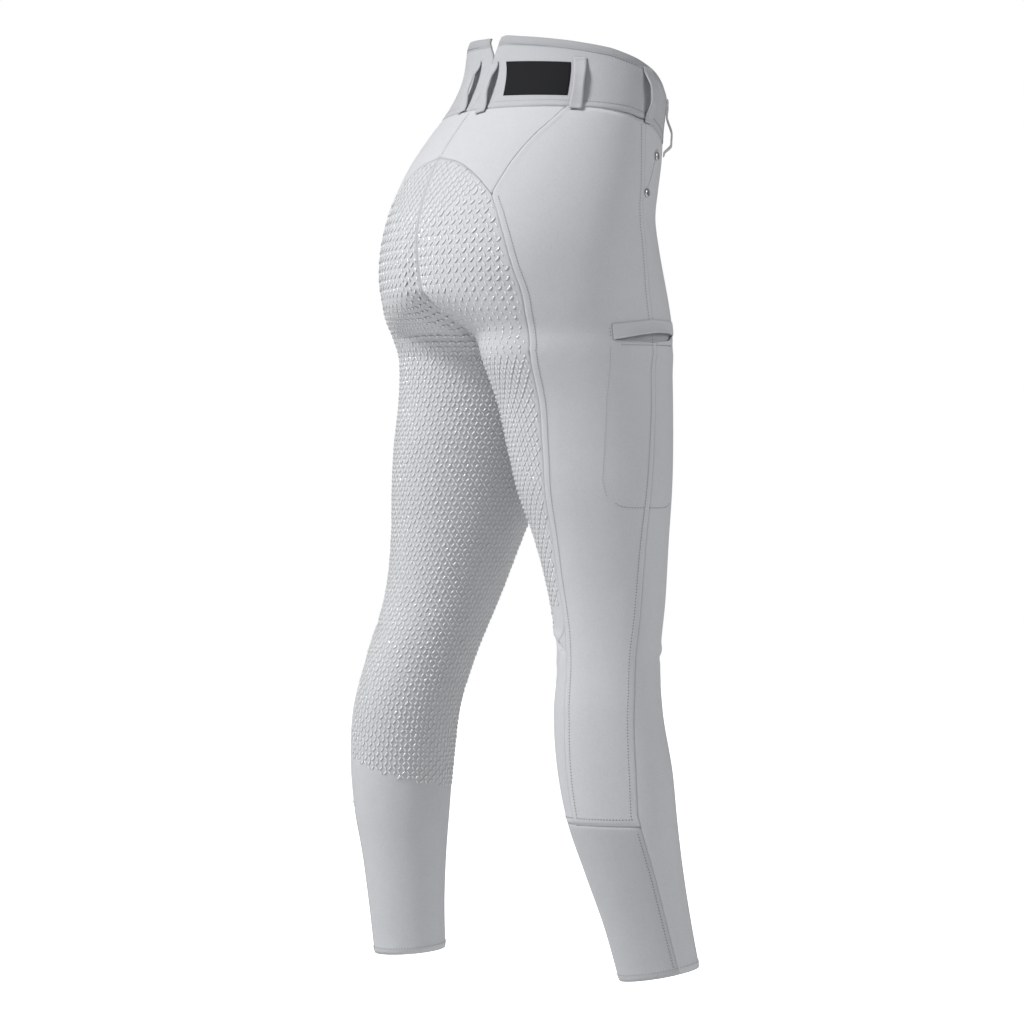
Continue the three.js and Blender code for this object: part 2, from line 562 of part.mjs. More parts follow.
// The thigh pocket on the right: a folded welt over the mouth, and the bag inside the leg.
function addThighPocket() {
  const width = (u) => Math.sin(Math.PI * clamp((u - 0.324) / 0.193, 0, 1));
  const welt = [0, 0.5, 1].map((t) =>
    evenRow(0.324, 0, 0.517, 0, 10).map(({ u }) => ({
      u, t, z: lerp(zOn(WELT_TOP, u), along(MOUTH, 'u', 'up', u) - 0.4, t),
    })),
  );
  const flare = (at) => ON_TOP + 1.4 + 2.5 * width(at.u) * at.t ** 2;
  addPanel('thigh_pocket_welt', 'cloth', 'right', welt, { lift: flare, cloth: 1.4 });
  const heights = LEG_ROWS.filter((z) => z <= -257 && z >= -436);
  const bag = heights.map((z) => {
    const seam = uOn(OUTSEAM, z);
    const front = [2, 1, 0].map((k) => seam * (1 - k / FRONT_COLUMNS));
    const back = [1, 2].map((k) => lerp(seam, uOn(SEAT_SIDE, z), k / SIDE_COLUMNS));
    const last = Math.max(uOn(BAG_BACK_EDGE, z), back[1] + 0.004);
    return [...front, ...back, last].map((u) => ({ u, z }));
  });
  const sag = (at) => POCKET_DEPTH * width(at.u) * smooth(-370, -296, at.z) * (1 - smooth(-268, -256, at.z));
  const inside = (at) => -CLOTH - ON_TOP - 0.4 - sag(at);
  addPanel('thigh_pocket_bag', 'cloth', 'right', bag, { lift: inside, cloth: 1.2 });
}

// The facing along the slanted mouth of a front pocket, with a rivet at each end.
function addFrontPocket(side) {
  const mouth = [
    { u: 0.33, z: -80 }, { u: 0.337, z: -91 }, { u: 0.346, z: -103 }, { u: 0.357, z: -115 },
    { u: 0.371, z: -126 },
  ];
  const table = mouth.map(({ u, z }) => ({ u0: u - 0.022, z0: z - 4, u1: u, z1: z }));
  addSewnOn(`front_pocket_facing_${side}`, 'cloth', side, table, { columns: 2, cloth: 1 });
  const onFacing = ON_TOP + 1.4;
  addRivet(`rivet_pocket_top_${side}`, side, 0.331, -90, onFacing, RIVET_RADIUS);
  addRivet(`rivet_pocket_foot_${side}`, side, 0.368, -131, ON_TOP + 0.3, RIVET_RADIUS);
}

// The fly facing on the right front, and the snap that closes the waistband. Its middle points lie
// over the first column of the front panel, where the cloth turns in towards the centre front.
function addFly() {
  const edge = [
    { z: -88, u: 0.068 }, { z: -118, u: 0.068 }, { z: -150, u: 0.065 }, { z: -178, u: 0.056 },
    { z: -200, u: 0.044 },
  ];
  const rows = edge.map(({ z, u }) => {
    const fold = Math.min(uOn(OUTSEAM, z) / FRONT_COLUMNS, u - 0.002);
    return [0.003, fold, u].map((at) => ({ u: at, z }));
  });
  addPanel('fly_facing', 'cloth', 'right', rows, { lift: () => 2 * ON_TOP + 1.2, cloth: 1.2 });
  addRivet('waist_snap', 'right', 0.03, -56, BAND_LIFT + ON_TOP, SNAP_RADIUS);
}

function addRivet(name, side, u, z, base, radius) {
  const profile = [
    [0, 0], [1, 0], [1, 0.6], [0.8, 1.3], [0.4, 1.7], [0, 1.8],
  ];
  const points = profile.map(([share, height]) => new THREE.Vector2(share * radius, height));
  const cap = new THREE.LatheGeometry(points, 14);
  const n = bodyNormal(side, u, z);
  const at = bodyPoint(side, u, z).addScaledVector(n, base);
  const turn = new THREE.Quaternion().setFromUnitVectors(new THREE.Vector3(0, 1, 0), n);
  cap.applyQuaternion(turn).translate(at.x, at.y, at.z);
  addMesh(name, 'metal', cap);
}

for (const side of ['left', 'right']) {
  addBand(side);
  addFront(side);
  addSide(side);
  addPanel(`yoke_${side}`, 'cloth', side, yokeRows(), { onMiddle: atMiddle });
  addPanel(`seat_inner_leg_${side}`, 'grip', side, seatRows(side), { onMiddle: atMiddle });
  addPanel(`calf_back_${side}`, 'cloth', side, calfRows());
  addPanel(`calf_insert_${side}`, 'elastic', side, insertRows(side), { cloth: ELASTIC });
}
addLoops();
addLabelPatch();
addThighPocket();
addFrontPocket('left');
addFrontPocket('right');
addFly();

export default group;
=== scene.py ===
"""Riding breeches in worn shape: fine cloth panels, seams, stitching, grip print and trim."""
import math

import bmesh
import bpy
import numpy as np
from mathutils import Matrix, Vector


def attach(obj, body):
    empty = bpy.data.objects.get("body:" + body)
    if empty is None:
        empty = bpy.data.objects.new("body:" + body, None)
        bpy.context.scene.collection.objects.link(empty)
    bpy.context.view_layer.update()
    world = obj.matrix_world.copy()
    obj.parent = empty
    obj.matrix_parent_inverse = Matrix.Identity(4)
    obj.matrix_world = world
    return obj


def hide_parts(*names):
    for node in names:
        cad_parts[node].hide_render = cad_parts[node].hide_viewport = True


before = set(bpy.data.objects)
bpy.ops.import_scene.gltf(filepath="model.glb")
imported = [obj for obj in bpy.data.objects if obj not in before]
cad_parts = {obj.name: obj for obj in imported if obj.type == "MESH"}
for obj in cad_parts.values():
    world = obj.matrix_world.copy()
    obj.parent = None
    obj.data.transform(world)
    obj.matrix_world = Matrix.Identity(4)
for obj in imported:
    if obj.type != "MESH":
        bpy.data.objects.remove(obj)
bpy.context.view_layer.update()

# The camera, which looks at the wearer's right side from behind, in metres and degrees, and the
# picture's width in pixels.
AZIMUTH = 236.0
DISTANCE = 3.5
PIXELS_PER_METRE = 977.0
PICTURE = 1024.0
SENSOR = 36.0
AIM_RIGHT = -0.05
CAMERA_HEIGHT = -0.443

SIDES = ("left", "right")

# Walls, gaps and heights in millimetres. z is 0 at the waist.
CLOTH = 1.6
BAND_CLOTH = 2.2
ELASTIC = 1.3
EDGE_GAP = 0.12
CRISP_GAP = 0.85
MIDDLE_GAP = 0.02
TINY = 1e-6
SIDE_TOP_Z = -44.0
FRONT_TOP_Z = -53.0
FRONT_MIDDLE_TOP_Z = -81.0
YOKE_CORNER_Z = -132.0
YOKE_CORNER_U = 0.803
UPPER_TO = -150.0
CROTCH_Z = -287.0
CALF_BACK_TOP_Z = -556.0
INSERT_TOP_Z = -750.0
HEM_Z = -900.0
HEM_FALL = {"right": 7.0, "left": 3.0}
HEM_FALL_TOP_Z = -800.0
NOTCH_HALF_WIDTH = {"left": 11.5, "right": 7.5}
NOTCH_FOOT_Z = 12.0
NOTCH_TOP_Z = 36.0
BAND_LIFT = 0.6
BAND_TOP_STITCH = 8.5
BAND_FOOT_STITCH = 6.0
SIGN = {"right": -1.0, "left": 1.0}

# Torso: height, half width, y of the front, y of the back, fullness of each cheek.
TORSO = np.array([
    (60, 124, -88, 79, 0),
    (30, 126, -90, 81, 0),
    (0, 129, -92, 87, 0),
    (-30, 133, -93, 104, 0),
    (-60, 139, -89, 128, 1),
    (-90, 146, -86, 149, 2),
    (-120, 153, -79, 163, 3),
    (-150, 158, -73, 172, 4),
    (-180, 161, -74, 177, 5),
    (-210, 161, -76, 178, 5),
    (-240, 160, -77, 174, 3),
    (-285, 157, -78, 158, 0),
], float)
# Legs: height, x and y of the centre, radii to the front, back, inside and outside, turn in degrees.
HIP = [
    (-60, 66, 20, 100, 104, 104, 62, 0),
    (-120, 68, 38, 106, 122, 98, 80, 0),
    (-180, 73, 46, 112, 128, 92, 85, 0),
    (-215, 77, 45, 112, 124, 89, 83, 0),
    (-240, 79, 43, 111, 118, 86, 80, 0),
    (-262, 81, 41, 109, 104, 84, 78, 0),
]
LEG = {
    "right": np.array(HIP + [
        (-285, 83, 40, 107, 100, 83, 78, 0),
        (-300, 85, 39, 103, 96, 80, 77, 1),
        (-330, 88, 37, 98, 86, 78, 76, 3),
        (-375, 93, 34, 90, 80, 74, 74, 8),
        (-420, 99, 31, 81, 75, 70, 71, 14),
        (-470, 105, 27, 70, 64, 62, 63, 21),
        (-530, 112, 22, 58, 57, 53, 54, 29),
        (-590, 118, 23, 50, 52, 48, 49, 34),
        (-640, 123, 26, 52, 56, 48, 49, 34),
        (-700, 129, 22, 55, 59, 48, 49, 34),
        (-750, 134, 16, 52, 57, 46, 47, 34),
        (-800, 139, 6, 47, 51, 42, 43, 34),
        (-850, 144, -5, 43, 45, 39, 39, 34),
        (-910, 150, -18, 40, 42, 37, 37, 34),
    ], float),
    "left": np.array(HIP + [
        (-285, 83, 38, 105, 93, 83, 78, 0),
        (-300, 85, 38, 102, 91, 80, 77, 0),
        (-330, 88, 39, 96, 89, 78, 76, -2),
        (-375, 93, 44, 88, 86, 75, 75, -5),
        (-420, 99, 51, 80, 78, 71, 71, -8),
        (-470, 105, 60, 70, 67, 64, 65, -12),
        (-530, 112, 74, 62, 58, 56, 57, -18),
        (-590, 118, 94, 57, 56, 53, 54, -20),
        (-640, 123, 106, 54, 57, 53, 54, -20),
        (-700, 129, 110, 53, 54, 51, 52, -20),
        (-750, 134, 107, 49, 50, 49, 50, -20),
        (-800, 139, 101, 43, 44, 44, 45, -20),
        (-850, 144, 95, 39, 40, 41, 42, -20),
        (-910, 150, 87, 37, 37, 38, 39, -20),
    ], float),
}

# Seam lines as pairs. u runs round each half, 0 at the centre front or inseam, 1 at the centre back.
BAND_FRONT = [(0, -31), (0.15, -28), (0.3, -17), (0.4, -3), (0.5, 8)]
BAND_TOP = {
    "right": BAND_FRONT + [(0.6, 17), (0.75, 26), (0.85, 31.5), (0.93, 35.5), (0.97, 37), (1, 36)],
    "left": BAND_FRONT + [
        (0.6, 23), (0.68, 34), (0.75, 40.5), (0.8, 41), (0.87, 39.5), (0.95, 37.5), (1, 37),
    ],
}
BAND_BOTTOM = [
    (0, -81), (0.15, -77), (0.3, -66), (0.4, -55), (0.5, -48), (0.6, -45), (0.75, -42), (0.9, -40), (1, -39),
]
SEAT_TOP = [
    (0.803, -132), (0.815, -127), (0.839, -117), (0.867, -108), (0.904, -99), (0.935, -94), (1, -88),
]
SIDE_BACK = [
    (-44, 0.697), (-60, 0.722), (-71, 0.742), (-85, 0.76), (-102, 0.778), (-120, 0.793), (-132, 0.803),
]
SEAT_SIDE = [
    (-132, 0.803), (-150, 0.782), (-173, 0.763), (-208, 0.739), (-228, 0.724), (-260, 0.69), (-289, 0.66),
    (-327, 0.664), (-400, 0.662), (-506, 0.667), (-556, 0.657), (-650, 0.652), (-750, 0.672),
]
OUTSEAM = [
    (-53, 0.42), (-74, 0.407), (-120, 0.384), (-150, 0.379), (-181, 0.385), (-221, 0.404), (-300, 0.427),
    (-418, 0.422), (-556, 0.418), (-620, 0.425), (-684, 0.446), (-740, 0.461), (-804, 0.44), (-905, 0.424),
]
INNER_FRONT = [
    (-287, 0), (-300, 0.06), (-320, 0.12), (-350, 0.17), (-400, 0.21), (-460, 0.228), (-905, 0.235),
]
CALF_BACK = [(-556, 0.657), (-575, 0.695), (-600, 0.728), (-630, 0.747), (-660, 0.75), (-905, 0.75)]
# The mouth of the thigh pocket, in the right leg only: u, upper edge, lower edge.
MOUTH_Z = -271.0
MOUTH = np.array([
    (0.324, -266.5, -266.5), (0.345, -265.3, -270), (0.371, -264.9, -272.5), (0.417, -265.8, -275),
    (0.466, -269.5, -275.3), (0.495, -272.6, -275.2), (0.516, -274.7, -274.7),
])
WELT_TOP = [(0.324, -252.8), (0.417, -252.7), (0.466, -256), (0.517, -259.4)]
BAG_BACK_EDGE = [(-257, 0.517), (-302, 0.522), (-334, 0.532), (-412, 0.535), (-428, 0.525), (-436, 0.5)]


def along(table, at):
    """The second value of a seam table where its first value is at, straight between the rows."""
    rows = np.array(table, float)
    if rows[0, 0] > rows[-1, 0]:
        rows = rows[::-1]
    return np.interp(at, rows[:, 0], rows[:, 1])


def columns(rows, z):
    """The columns of a section table at the heights z, on a cubic through its rows."""
    heights = rows[::-1, 0]
    values = rows[::-1, 1:]
    slopes = np.gradient(values, heights, axis=0)
    i = np.clip(np.searchsorted(heights, z) - 1, 0, len(heights) - 2)
    span = heights[i + 1] - heights[i]
    t = np.clip((z - heights[i]) / span, 0, 1)
    parts = [
        2 * t**3 - 3 * t**2 + 1, (t**3 - 2 * t**2 + t) * span,
        3 * t**2 - 2 * t**3, (t**3 - t**2) * span,
    ]
    corner = [values[i], slopes[i], values[i + 1], slopes[i + 1]]
    total = sum(p[..., None] * c for p, c in zip(parts, corner))
    return np.moveaxis(total, -1, 0)


def smooth(low, high, value):
    t = np.clip((value - low) / (high - low), 0, 1)
    return t * t * (3 - 2 * t)


def lerp(a, b, t):
    return a + (b - a) * t


def share_between(start, end, value):
    """0 where the value is at its start, 1 where it is at its end."""
    return (value - start) / (end - start)


def bell(distance, width):
    """1 at a distance of 0, falling off to nothing over about twice the width."""
    return np.exp(-((distance / width) ** 2))


def unit(vectors):
    length = np.linalg.norm(vectors, axis=-1, keepdims=True)
    return vectors / np.maximum(length, 1e-9)


def running_length(points):
    """Length of a line of points from its first point to each."""
    steps = np.linalg.norm(np.diff(points, axis=0), axis=-1)
    return np.concatenate([np.zeros((1,) + steps.shape[1:]), np.cumsum(steps, 0)])


# Heights over which the torso turns into the legs, at the front and at the back, and the u over
# which the one passes into the other.
FRONT_BLEND = (-275, -130)
BACK_BLEND = (-292, -222)
FRONT_TO_BACK = (0.35, 0.6)


def body(side, u, z):
    """Points of the body surface in millimetres."""
    u, z = np.broadcast_arrays(np.asarray(u, float), np.asarray(z, float))
    cx, cy, front, back, inner, outer, turn = columns(LEG[side], z)
    spread = 0.02 * np.abs(z - CROTCH_Z)
    above = z > CROTCH_Z
    inner = np.where(above, np.maximum(inner, cx + spread), np.minimum(inner, cx - spread))
    end = np.where(above, np.arccos(np.clip(-cx / inner, -1, 1)), np.pi)
    angle = (2 * u - 1) * end
    c, s = np.cos(angle), np.sin(angle)
    ax = np.where(c > 0, outer, inner) * c
    ay = np.where(s > 0, back, front) * s
    turn = np.radians(turn)
    leg_x = cx + ax * np.cos(turn) - ay * np.sin(turn)
    leg_y = cy + ay * np.cos(turn) + ax * np.sin(turn)
    half, low, high, cheek = columns(TORSO, z)
    full = 1 + cheek / 150 * np.sin(np.pi * np.clip((u - 0.6) / 0.4, 0, 1)) ** 2
    torso_x = half * np.sin(np.pi * u) * full
    torso_y = (low + high) / 2 - (high - low) / 2 * np.cos(np.pi * u) * full
    back_share = smooth(*FRONT_TO_BACK, u)
    leg_share = (1 - smooth(*FRONT_BLEND, z)) * (1 - back_share)
    leg_share = leg_share + (1 - smooth(*BACK_BLEND, z)) * back_share
    x = torso_x + (leg_x - torso_x) * leg_share
    y = torso_y + (leg_y - torso_y) * leg_share
    return np.stack([SIGN[side] * x, y, z], -1)


def normal(side, u, z):
    """Unit normals of the body surface, facing out."""
    du, dz = 0.002, 1.0
    above = z > CROTCH_Z
    low = np.where(above, np.maximum(u - du, 0), u - du)
    high = np.where(above, np.minimum(u + du, 1), u + du)
    up = np.where(~above & (z + dz > CROTCH_Z), z, z + dz)
    down = np.where(above & (z - dz <= CROTCH_Z), z, z - dz)
    across = body(side, high, z) - body(side, low, z)
    along_z = body(side, u, up) - body(side, u, down)
    return unit(np.cross(across, along_z) * SIGN[side])


# How far the lips of the thigh pocket's mouth stand out, over which height, and where it ends.
MOUTH_SLACK = 1.6
MOUTH_SLACK_HEIGHT = 11.0
MOUTH_END_U = 0.517
# Creases: side, centre u and z, half length and half width in millimetres, lean in degrees from level,
# and how deep the trough is, or how high the ridge if negative.
CREASES = [
    ("left", 0.88, -264, 60, 7, 2, 4.4),
    ("left", 0.86, -244, 56, 13, 4, -1.8),
    ("right", 0.84, -270, 50, 10, 10, 1.2),
    ("right", 0.712, -574, 15, 2.6, 30, 4.6),
    ("right", 0.71, -565, 18, 5, 26, -3.2),
    ("right", 0.735, -592, 18, 6, 20, -1.0),
    ("right", 0.25, -588, 22, 3.4, 24, 2.2),
    ("right", 0.27, -579, 20, 5, 24, -1.4),
    ("left", 0.24, -600, 24, 4, 20, 1.8),
    ("left", 0.74, -560, 22, 4, -14, 1.4),
    ("left", 0.85, -880, 20, 3, -42, 1.0),
    ("left", 0.3, -565, 20, 4, 15, 1.2),
    ("both", 0.35, -268, 40, 9, 26, 1.3),
    ("both", 0.12, -262, 44, 6, 34, 2.0),
    ("both", 0.1, -245, 38, 6, 30, 1.4),
]
# The hollow between the cheeks: how deep it is, how far it reaches from the middle, and the
# heights over which it begins and ends.
CLEFT_DEPTH = 9.0
CLEFT_WIDTH = 15.0
CLEFT_TOP = (-150, -235)
CLEFT_FOOT = (-262, -300)


def girth(side, u, z):
    """Millimetres along the surface for each unit of u."""
    du = 0.002
    step = body(side, u + du, z) - body(side, u - du, z)
    return np.linalg.norm(step, axis=-1) / (2 * du)


def relief(side, u, z):
    """How far the creases and the slack lips of the pocket move the cloth out, in millimetres."""
    total = np.zeros(np.broadcast(u, z).shape)
    for where, at_u, at_z, length, width, lean, depth in CREASES:
        if where not in (side, "both"):
            continue
        dx = (u - at_u) * girth(side, at_u, at_z)
        dz = z - at_z
        c, s = math.cos(math.radians(lean)), math.sin(math.radians(lean))
        a = (dx * c + dz * s) / length
        b = (-dx * s + dz * c) / width
        total = total - depth * np.exp(-(a**2) * 1.5 - b**2)
    from_middle = (1 - u) * girth(side, np.minimum(u, 0.995), np.maximum(z, CROTCH_Z))
    deep = smooth(*CLEFT_TOP, z) * (1 - smooth(*CLEFT_FOOT, z))
    total = total - CLEFT_DEPTH * deep * bell(from_middle, CLEFT_WIDTH)
    if side == "right":
        total = total + MOUTH_SLACK * mouth_width(u) * bell(z - MOUTH_Z, MOUTH_SLACK_HEIGHT)
    return total


def mouth_width(u):
    """0 at both ends of the pocket's mouth and 1 in its middle."""
    return np.sin(np.pi * np.clip(share_between(MOUTH[0, 0], MOUTH_END_U, u), 0, 1))


def surface(side, u, z, height):
    """Points at a height above the creased cloth surface."""
    n = normal(side, u, z)
    lift = np.broadcast_to(height, np.shape(u)) + relief(side, u, z)
    return body(side, u, z) + n * lift[..., None]


def hemmed(side, u, z):
    """Heights z with the slant of the hem, which fades out above it."""
    share = np.clip(share_between(HEM_FALL_TOP_Z, HEM_Z, z), 0, 1)
    return z - HEM_FALL[side] * share * np.cos(2 * np.pi * (u - 0.75))


# Blender pieces.

ROOT = "root"


def link_new(name, data):
    obj = bpy.data.objects.new(name, data)
    bpy.context.scene.collection.objects.link(obj)
    return obj


def add_object(name, mesh, material):
    obj = link_new(name, mesh)
    mesh.materials.append(material)
    mesh.polygons.foreach_set("use_smooth", [True] * len(mesh.polygons))
    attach(obj, ROOT)
    return obj


def mesh_from(name, points, faces):
    mesh = bpy.data.meshes.new(name)
    mesh.from_pydata((np.asarray(points) / 1000).tolist(), [], faces)
    mesh.validate()
    mesh.update()
    return mesh


def shell_mesh(name, outer, inner, flip, solid=None):
    """A closed wall from two grids of points of the same shape. solid says which cells there are."""
    rows, cols = outer.shape[:2]
    index = np.arange(rows * cols).reshape(rows, cols)
    layer = rows * cols
    if solid is None:
        solid = np.ones((rows - 1, cols - 1), bool)
    framed = np.pad(solid, 1)
    a, b, c, d = index[:-1, :-1], index[1:, :-1], index[1:, 1:], index[:-1, 1:]
    faces = [np.stack([a, b, c, d], -1)[solid], np.stack([a, d, c, b], -1)[solid] + layer]
    sides = [
        (framed[1:-1, :-2], a, b), (framed[1:-1, 2:], c, d),
        (framed[:-2, 1:-1], d, a), (framed[2:, 1:-1], b, c),
    ]
    for neighbour, near, far in sides:
        edge = solid & ~neighbour
        faces.append(np.stack([near, near + layer, far + layer, far], -1)[edge])
    quads = np.concatenate(faces)
    if flip:
        quads = quads[:, ::-1]
    points = np.concatenate([outer.reshape(-1, 3), inner.reshape(-1, 3)])
    return mesh_from(name, points, quads.tolist())


WELD_DISTANCE = 2e-6


def weld(mesh):
    """Joins points that fall together, as where a column closes to nothing."""
    made = bmesh.new()
    made.from_mesh(mesh)
    bmesh.ops.remove_doubles(made, verts=made.verts, dist=WELD_DISTANCE)
    made.to_mesh(mesh)
    made.free()
    mesh.update()


# Distances in from a seam where the cloth's form changes: the turned edge, the raised allowance,
# the stitches.
NEAR_EDGE = np.array([0, 0.35, 0.8, 1.5, 2.6, 4.2, 5.4, 6.1, 6.7, 7.3, 8.4, 10.5])
EDGE_DEPTH = 0.85
EDGE_WIDTH = 0.9
ALLOWANCE = 0.4
ALLOWANCE_END = (6.0, 8.6)
STITCH_DEPTH = 0.1
STITCH_WIDTH = 0.7
STITCH_FROM_EDGE = 6.7


def edge_form(distance, kind):
    """Height of the cloth at a distance in from an edge. kind is plain, crisp, stitched or none."""
    if kind == "none":
        return np.zeros_like(distance)
    form = -EDGE_DEPTH * bell(distance, EDGE_WIDTH)
    if kind == "stitched":
        form = form + ALLOWANCE * (1 - smooth(*ALLOWANCE_END, distance))
        form = form - STITCH_DEPTH * bell(distance - STITCH_FROM_EDGE, STITCH_WIDTH)
    return form


def spaced(width, step):
    """Places across a width from 0 to 1, close together near both edges."""
    near = NEAR_EDGE * min(1.0, width / (2 * NEAR_EDGE[-1] + 3))
    low, high = near[-1], width - near[-1]
    count = max(2, int(round((high - low) / step)))
    middle = np.linspace(low, high, count + 1)[1:-1]
    return np.concatenate([near, middle, width - near[::-1]]) / width


def distances(points):
    """Distances of each grid point from the first and last column and the first and last row."""
    across = running_length(points.swapaxes(0, 1)).T
    down = running_length(points)
    return across, across[:, -1:] - across, down, down[-1:] - down


PANEL_STEP = 3.6


def panel_grid(rows_at, levels, width):
    """u and z grids of a panel. rows_at(t) gives (u0, z0, u1, z1) and levels the places down it."""
    places = spaced(width, PANEL_STEP)
    table = np.array([rows_at(t) for t in levels], float)
    u = lerp(table[:, 0:1], table[:, 2:3], places)
    return u, lerp(table[:, 1:2], table[:, 3:4], places)


def shift_edges(points, gap, still):
    """Draws a grid's edges in by a gap, in the surface, but for those that stay still."""
    moved = points.copy()
    pairs = [
        (np.s_[:, 0], np.s_[:, 1]), (np.s_[:, -1], np.s_[:, -2]),
        (np.s_[0, :], np.s_[1, :]), (np.s_[-1, :], np.s_[-2, :]),
    ]
    for (edge, inside), stays in zip(pairs, still):
        if stays:
            continue
        way = points[inside] - points[edge]
        length = np.linalg.norm(way, axis=-1, keepdims=True)
        share = np.minimum(gap, length * 0.5) / np.maximum(length, TINY)
        moved[edge] = moved[edge] + way * share
    return moved


def at_middle(u, z):
    """Whether points of a half lie in the garment's middle plane."""
    return (z > CROTCH_Z - TINY) & ((u < TINY) | (np.abs(u - 1) < TINY))


def keep_off_middle(side, points, held):
    """Moves points to their half's side of the middle plane, and the held ones right beside it."""
    low = SIGN[side] * MIDDLE_GAP
    keep = np.maximum if side == "left" else np.minimum
    points[..., 0] = keep(np.where(held, low, points[..., 0]), low)


def add_panel(kind, side, u, z, edges, cloth=CLOTH, has_middle=False, solid=None):
    """A panel as a thin closed wall with the form of its seams: edges at left, right, top and foot."""
    node = f"{kind}_{side}"
    slot, material, ending = PANEL_LOOKS.get(kind, ("cloth", CLOTH_MATERIAL, "cloth"))
    height = sum(edge_form(d, k) for d, k in zip(distances(body(side, u, z)), edges))
    heights = (height, np.minimum(height, 0.3) - cloth)
    held = at_middle(u, z) & has_middle
    still = [edge == "none" for edge in edges]
    gap = CRISP_GAP if "crisp" in edges else EDGE_GAP
    grids = []
    for level in heights:
        points = surface(side, u, z, level)
        keep_off_middle(side, points, held)
        grids.append(shift_edges(points, gap, still))
    name = f"{node}_{ending}"
    mesh = shell_mesh(name, *grids, side == "right", solid)
    weld(mesh)
    obj = add_object(name, mesh, material)
    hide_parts(node)


def open_mouth(u, z, row):
    """Parts the grid's rows at row and row + 1 along the pocket's mouth. Returns z and the solid cells."""
    edge = np.clip(u, MOUTH[0, 0], MOUTH[-1, 0])
    taper = bell(u - edge, 0.025) * bell(z - MOUTH_Z, 10)
    upper = np.interp(edge, MOUTH[:, 0], MOUTH[:, 1]) - MOUTH_Z
    lower = np.interp(edge, MOUTH[:, 0], MOUTH[:, 2]) - MOUTH_Z
    above = (np.arange(len(z)) <= row)[:, None]
    parted = z + np.where(above, upper, lower) * taper
    solid = np.ones((u.shape[0] - 1, u.shape[1] - 1), bool)
    middle = (u[row, 1:] + u[row, :-1]) / 2
    solid[row] = (middle < MOUTH[0, 0]) | (middle > MOUTH[-1, 0])
    return parted, solid


# Materials.

def new_material(name):
    material = bpy.data.materials.new(name)
    material.use_nodes = True
    tree = material.node_tree
    shader = tree.nodes["Principled BSDF"]
    return material, tree, shader


def add_node(tree, kind, **values):
    node = tree.nodes.new(kind)
    for key, value in values.items():
        if hasattr(node, key) and key not in node.inputs:
            setattr(node, key, value)
        else:
            node.inputs[key].default_value = value
    return node


def set_inputs(node, values):
    for key, value in values.items():
        node.inputs[key].default_value = value


def spread(tree, value, low, high):
    """A value from 0 to 1 spread from low to high."""
    node = add_node(tree, "ShaderNodeMapRange")
    set_inputs(node, {"To Min": low, "To Max": high})
    tree.links.new(value, node.inputs["Value"])
    return node.outputs["Result"]


def add_texture(tree, kind, **values):
    """A texture laid out by the object's own coordinates."""
    coords = add_node(tree, "ShaderNodeTexCoord")
    texture = add_node(tree, kind, **values)
    tree.links.new(coords.outputs["Object"], texture.inputs["Vector"])
    return texture.outputs["Fac"]


def add_noise(tree, **values):
    return add_texture(tree, "ShaderNodeTexNoise", **values)


def add_bump(tree, height, strength, distance):
    bump = add_node(tree, "ShaderNodeBump", Strength=strength, Distance=distance)
    tree.links.new(height, bump.inputs["Height"])
    return bump


def knit(name, color, rough=0.78, ribs=700.0, grain=0.5):
    """Fine stretch knit: slight heather in the colour, and a fine grain with faint upright wales."""
    material, tree, shader = new_material(name)
    link = tree.links.new
    fine = add_noise(tree, Scale=800.0, Detail=3.0, Roughness=0.65)
    broad = add_noise(tree, Scale=90.0, Detail=3.0, Roughness=0.55)
    shade = add_node(tree, "ShaderNodeMath", operation="MULTIPLY")
    link(spread(tree, fine, 0.86, 1.14), shade.inputs[0])
    link(spread(tree, broad, 0.975, 1.025), shade.inputs[1])
    tint = add_node(tree, "ShaderNodeVectorMath", operation="SCALE")
    tint.inputs[0].default_value = color
    link(shade.outputs["Value"], tint.inputs["Scale"])
    link(tint.outputs["Vector"], shader.inputs["Base Color"])
    wave = add_texture(
        tree, "ShaderNodeTexWave", Scale=ribs, Distortion=0.6, bands_direction="DIAGONAL",
    )
    grains = add_bump(tree, fine, grain, 0.0003)
    wales = add_bump(tree, wave, 0.25, 0.0003)
    link(grains.outputs["Normal"], wales.inputs["Normal"])
    link(wales.outputs["Normal"], shader.inputs["Normal"])
    set_inputs(shader, {
        "Roughness": rough, "Specular IOR Level": 0.25,
        "Sheen Weight": 0.25, "Sheen Roughness": 0.45,
    })
    return material


def silicone():
    material, tree, shader = new_material("grip_silicone")
    rough = spread(tree, add_noise(tree, Scale=400.0, Detail=2.0), 0.1, 0.2)
    tree.links.new(rough, shader.inputs["Roughness"])
    # The near white base colour is partly the print's own and partly painted highlight, which brightens each
    # stroke.
    set_inputs(shader, {
        "Base Color": (0.92, 0.93, 0.95, 1), "Specular IOR Level": 0.8,
        "Coat Weight": 1.0, "Coat Roughness": 0.08,
    })
    return material


def plain(name, color, rough, metallic=0.0, specular=0.5, scale=600.0, strength=0.15):
    """A smooth trim material with a faint surface grain."""
    material, tree, shader = new_material(name)
    bump = add_bump(tree, add_noise(tree, Scale=scale, Detail=3.0), strength, 0.0002)
    tree.links.new(bump.outputs["Normal"], shader.inputs["Normal"])
    set_inputs(shader, {
        "Base Color": (*color, 1), "Roughness": rough, "Metallic": metallic,
        "Specular IOR Level": specular,
    })
    return material


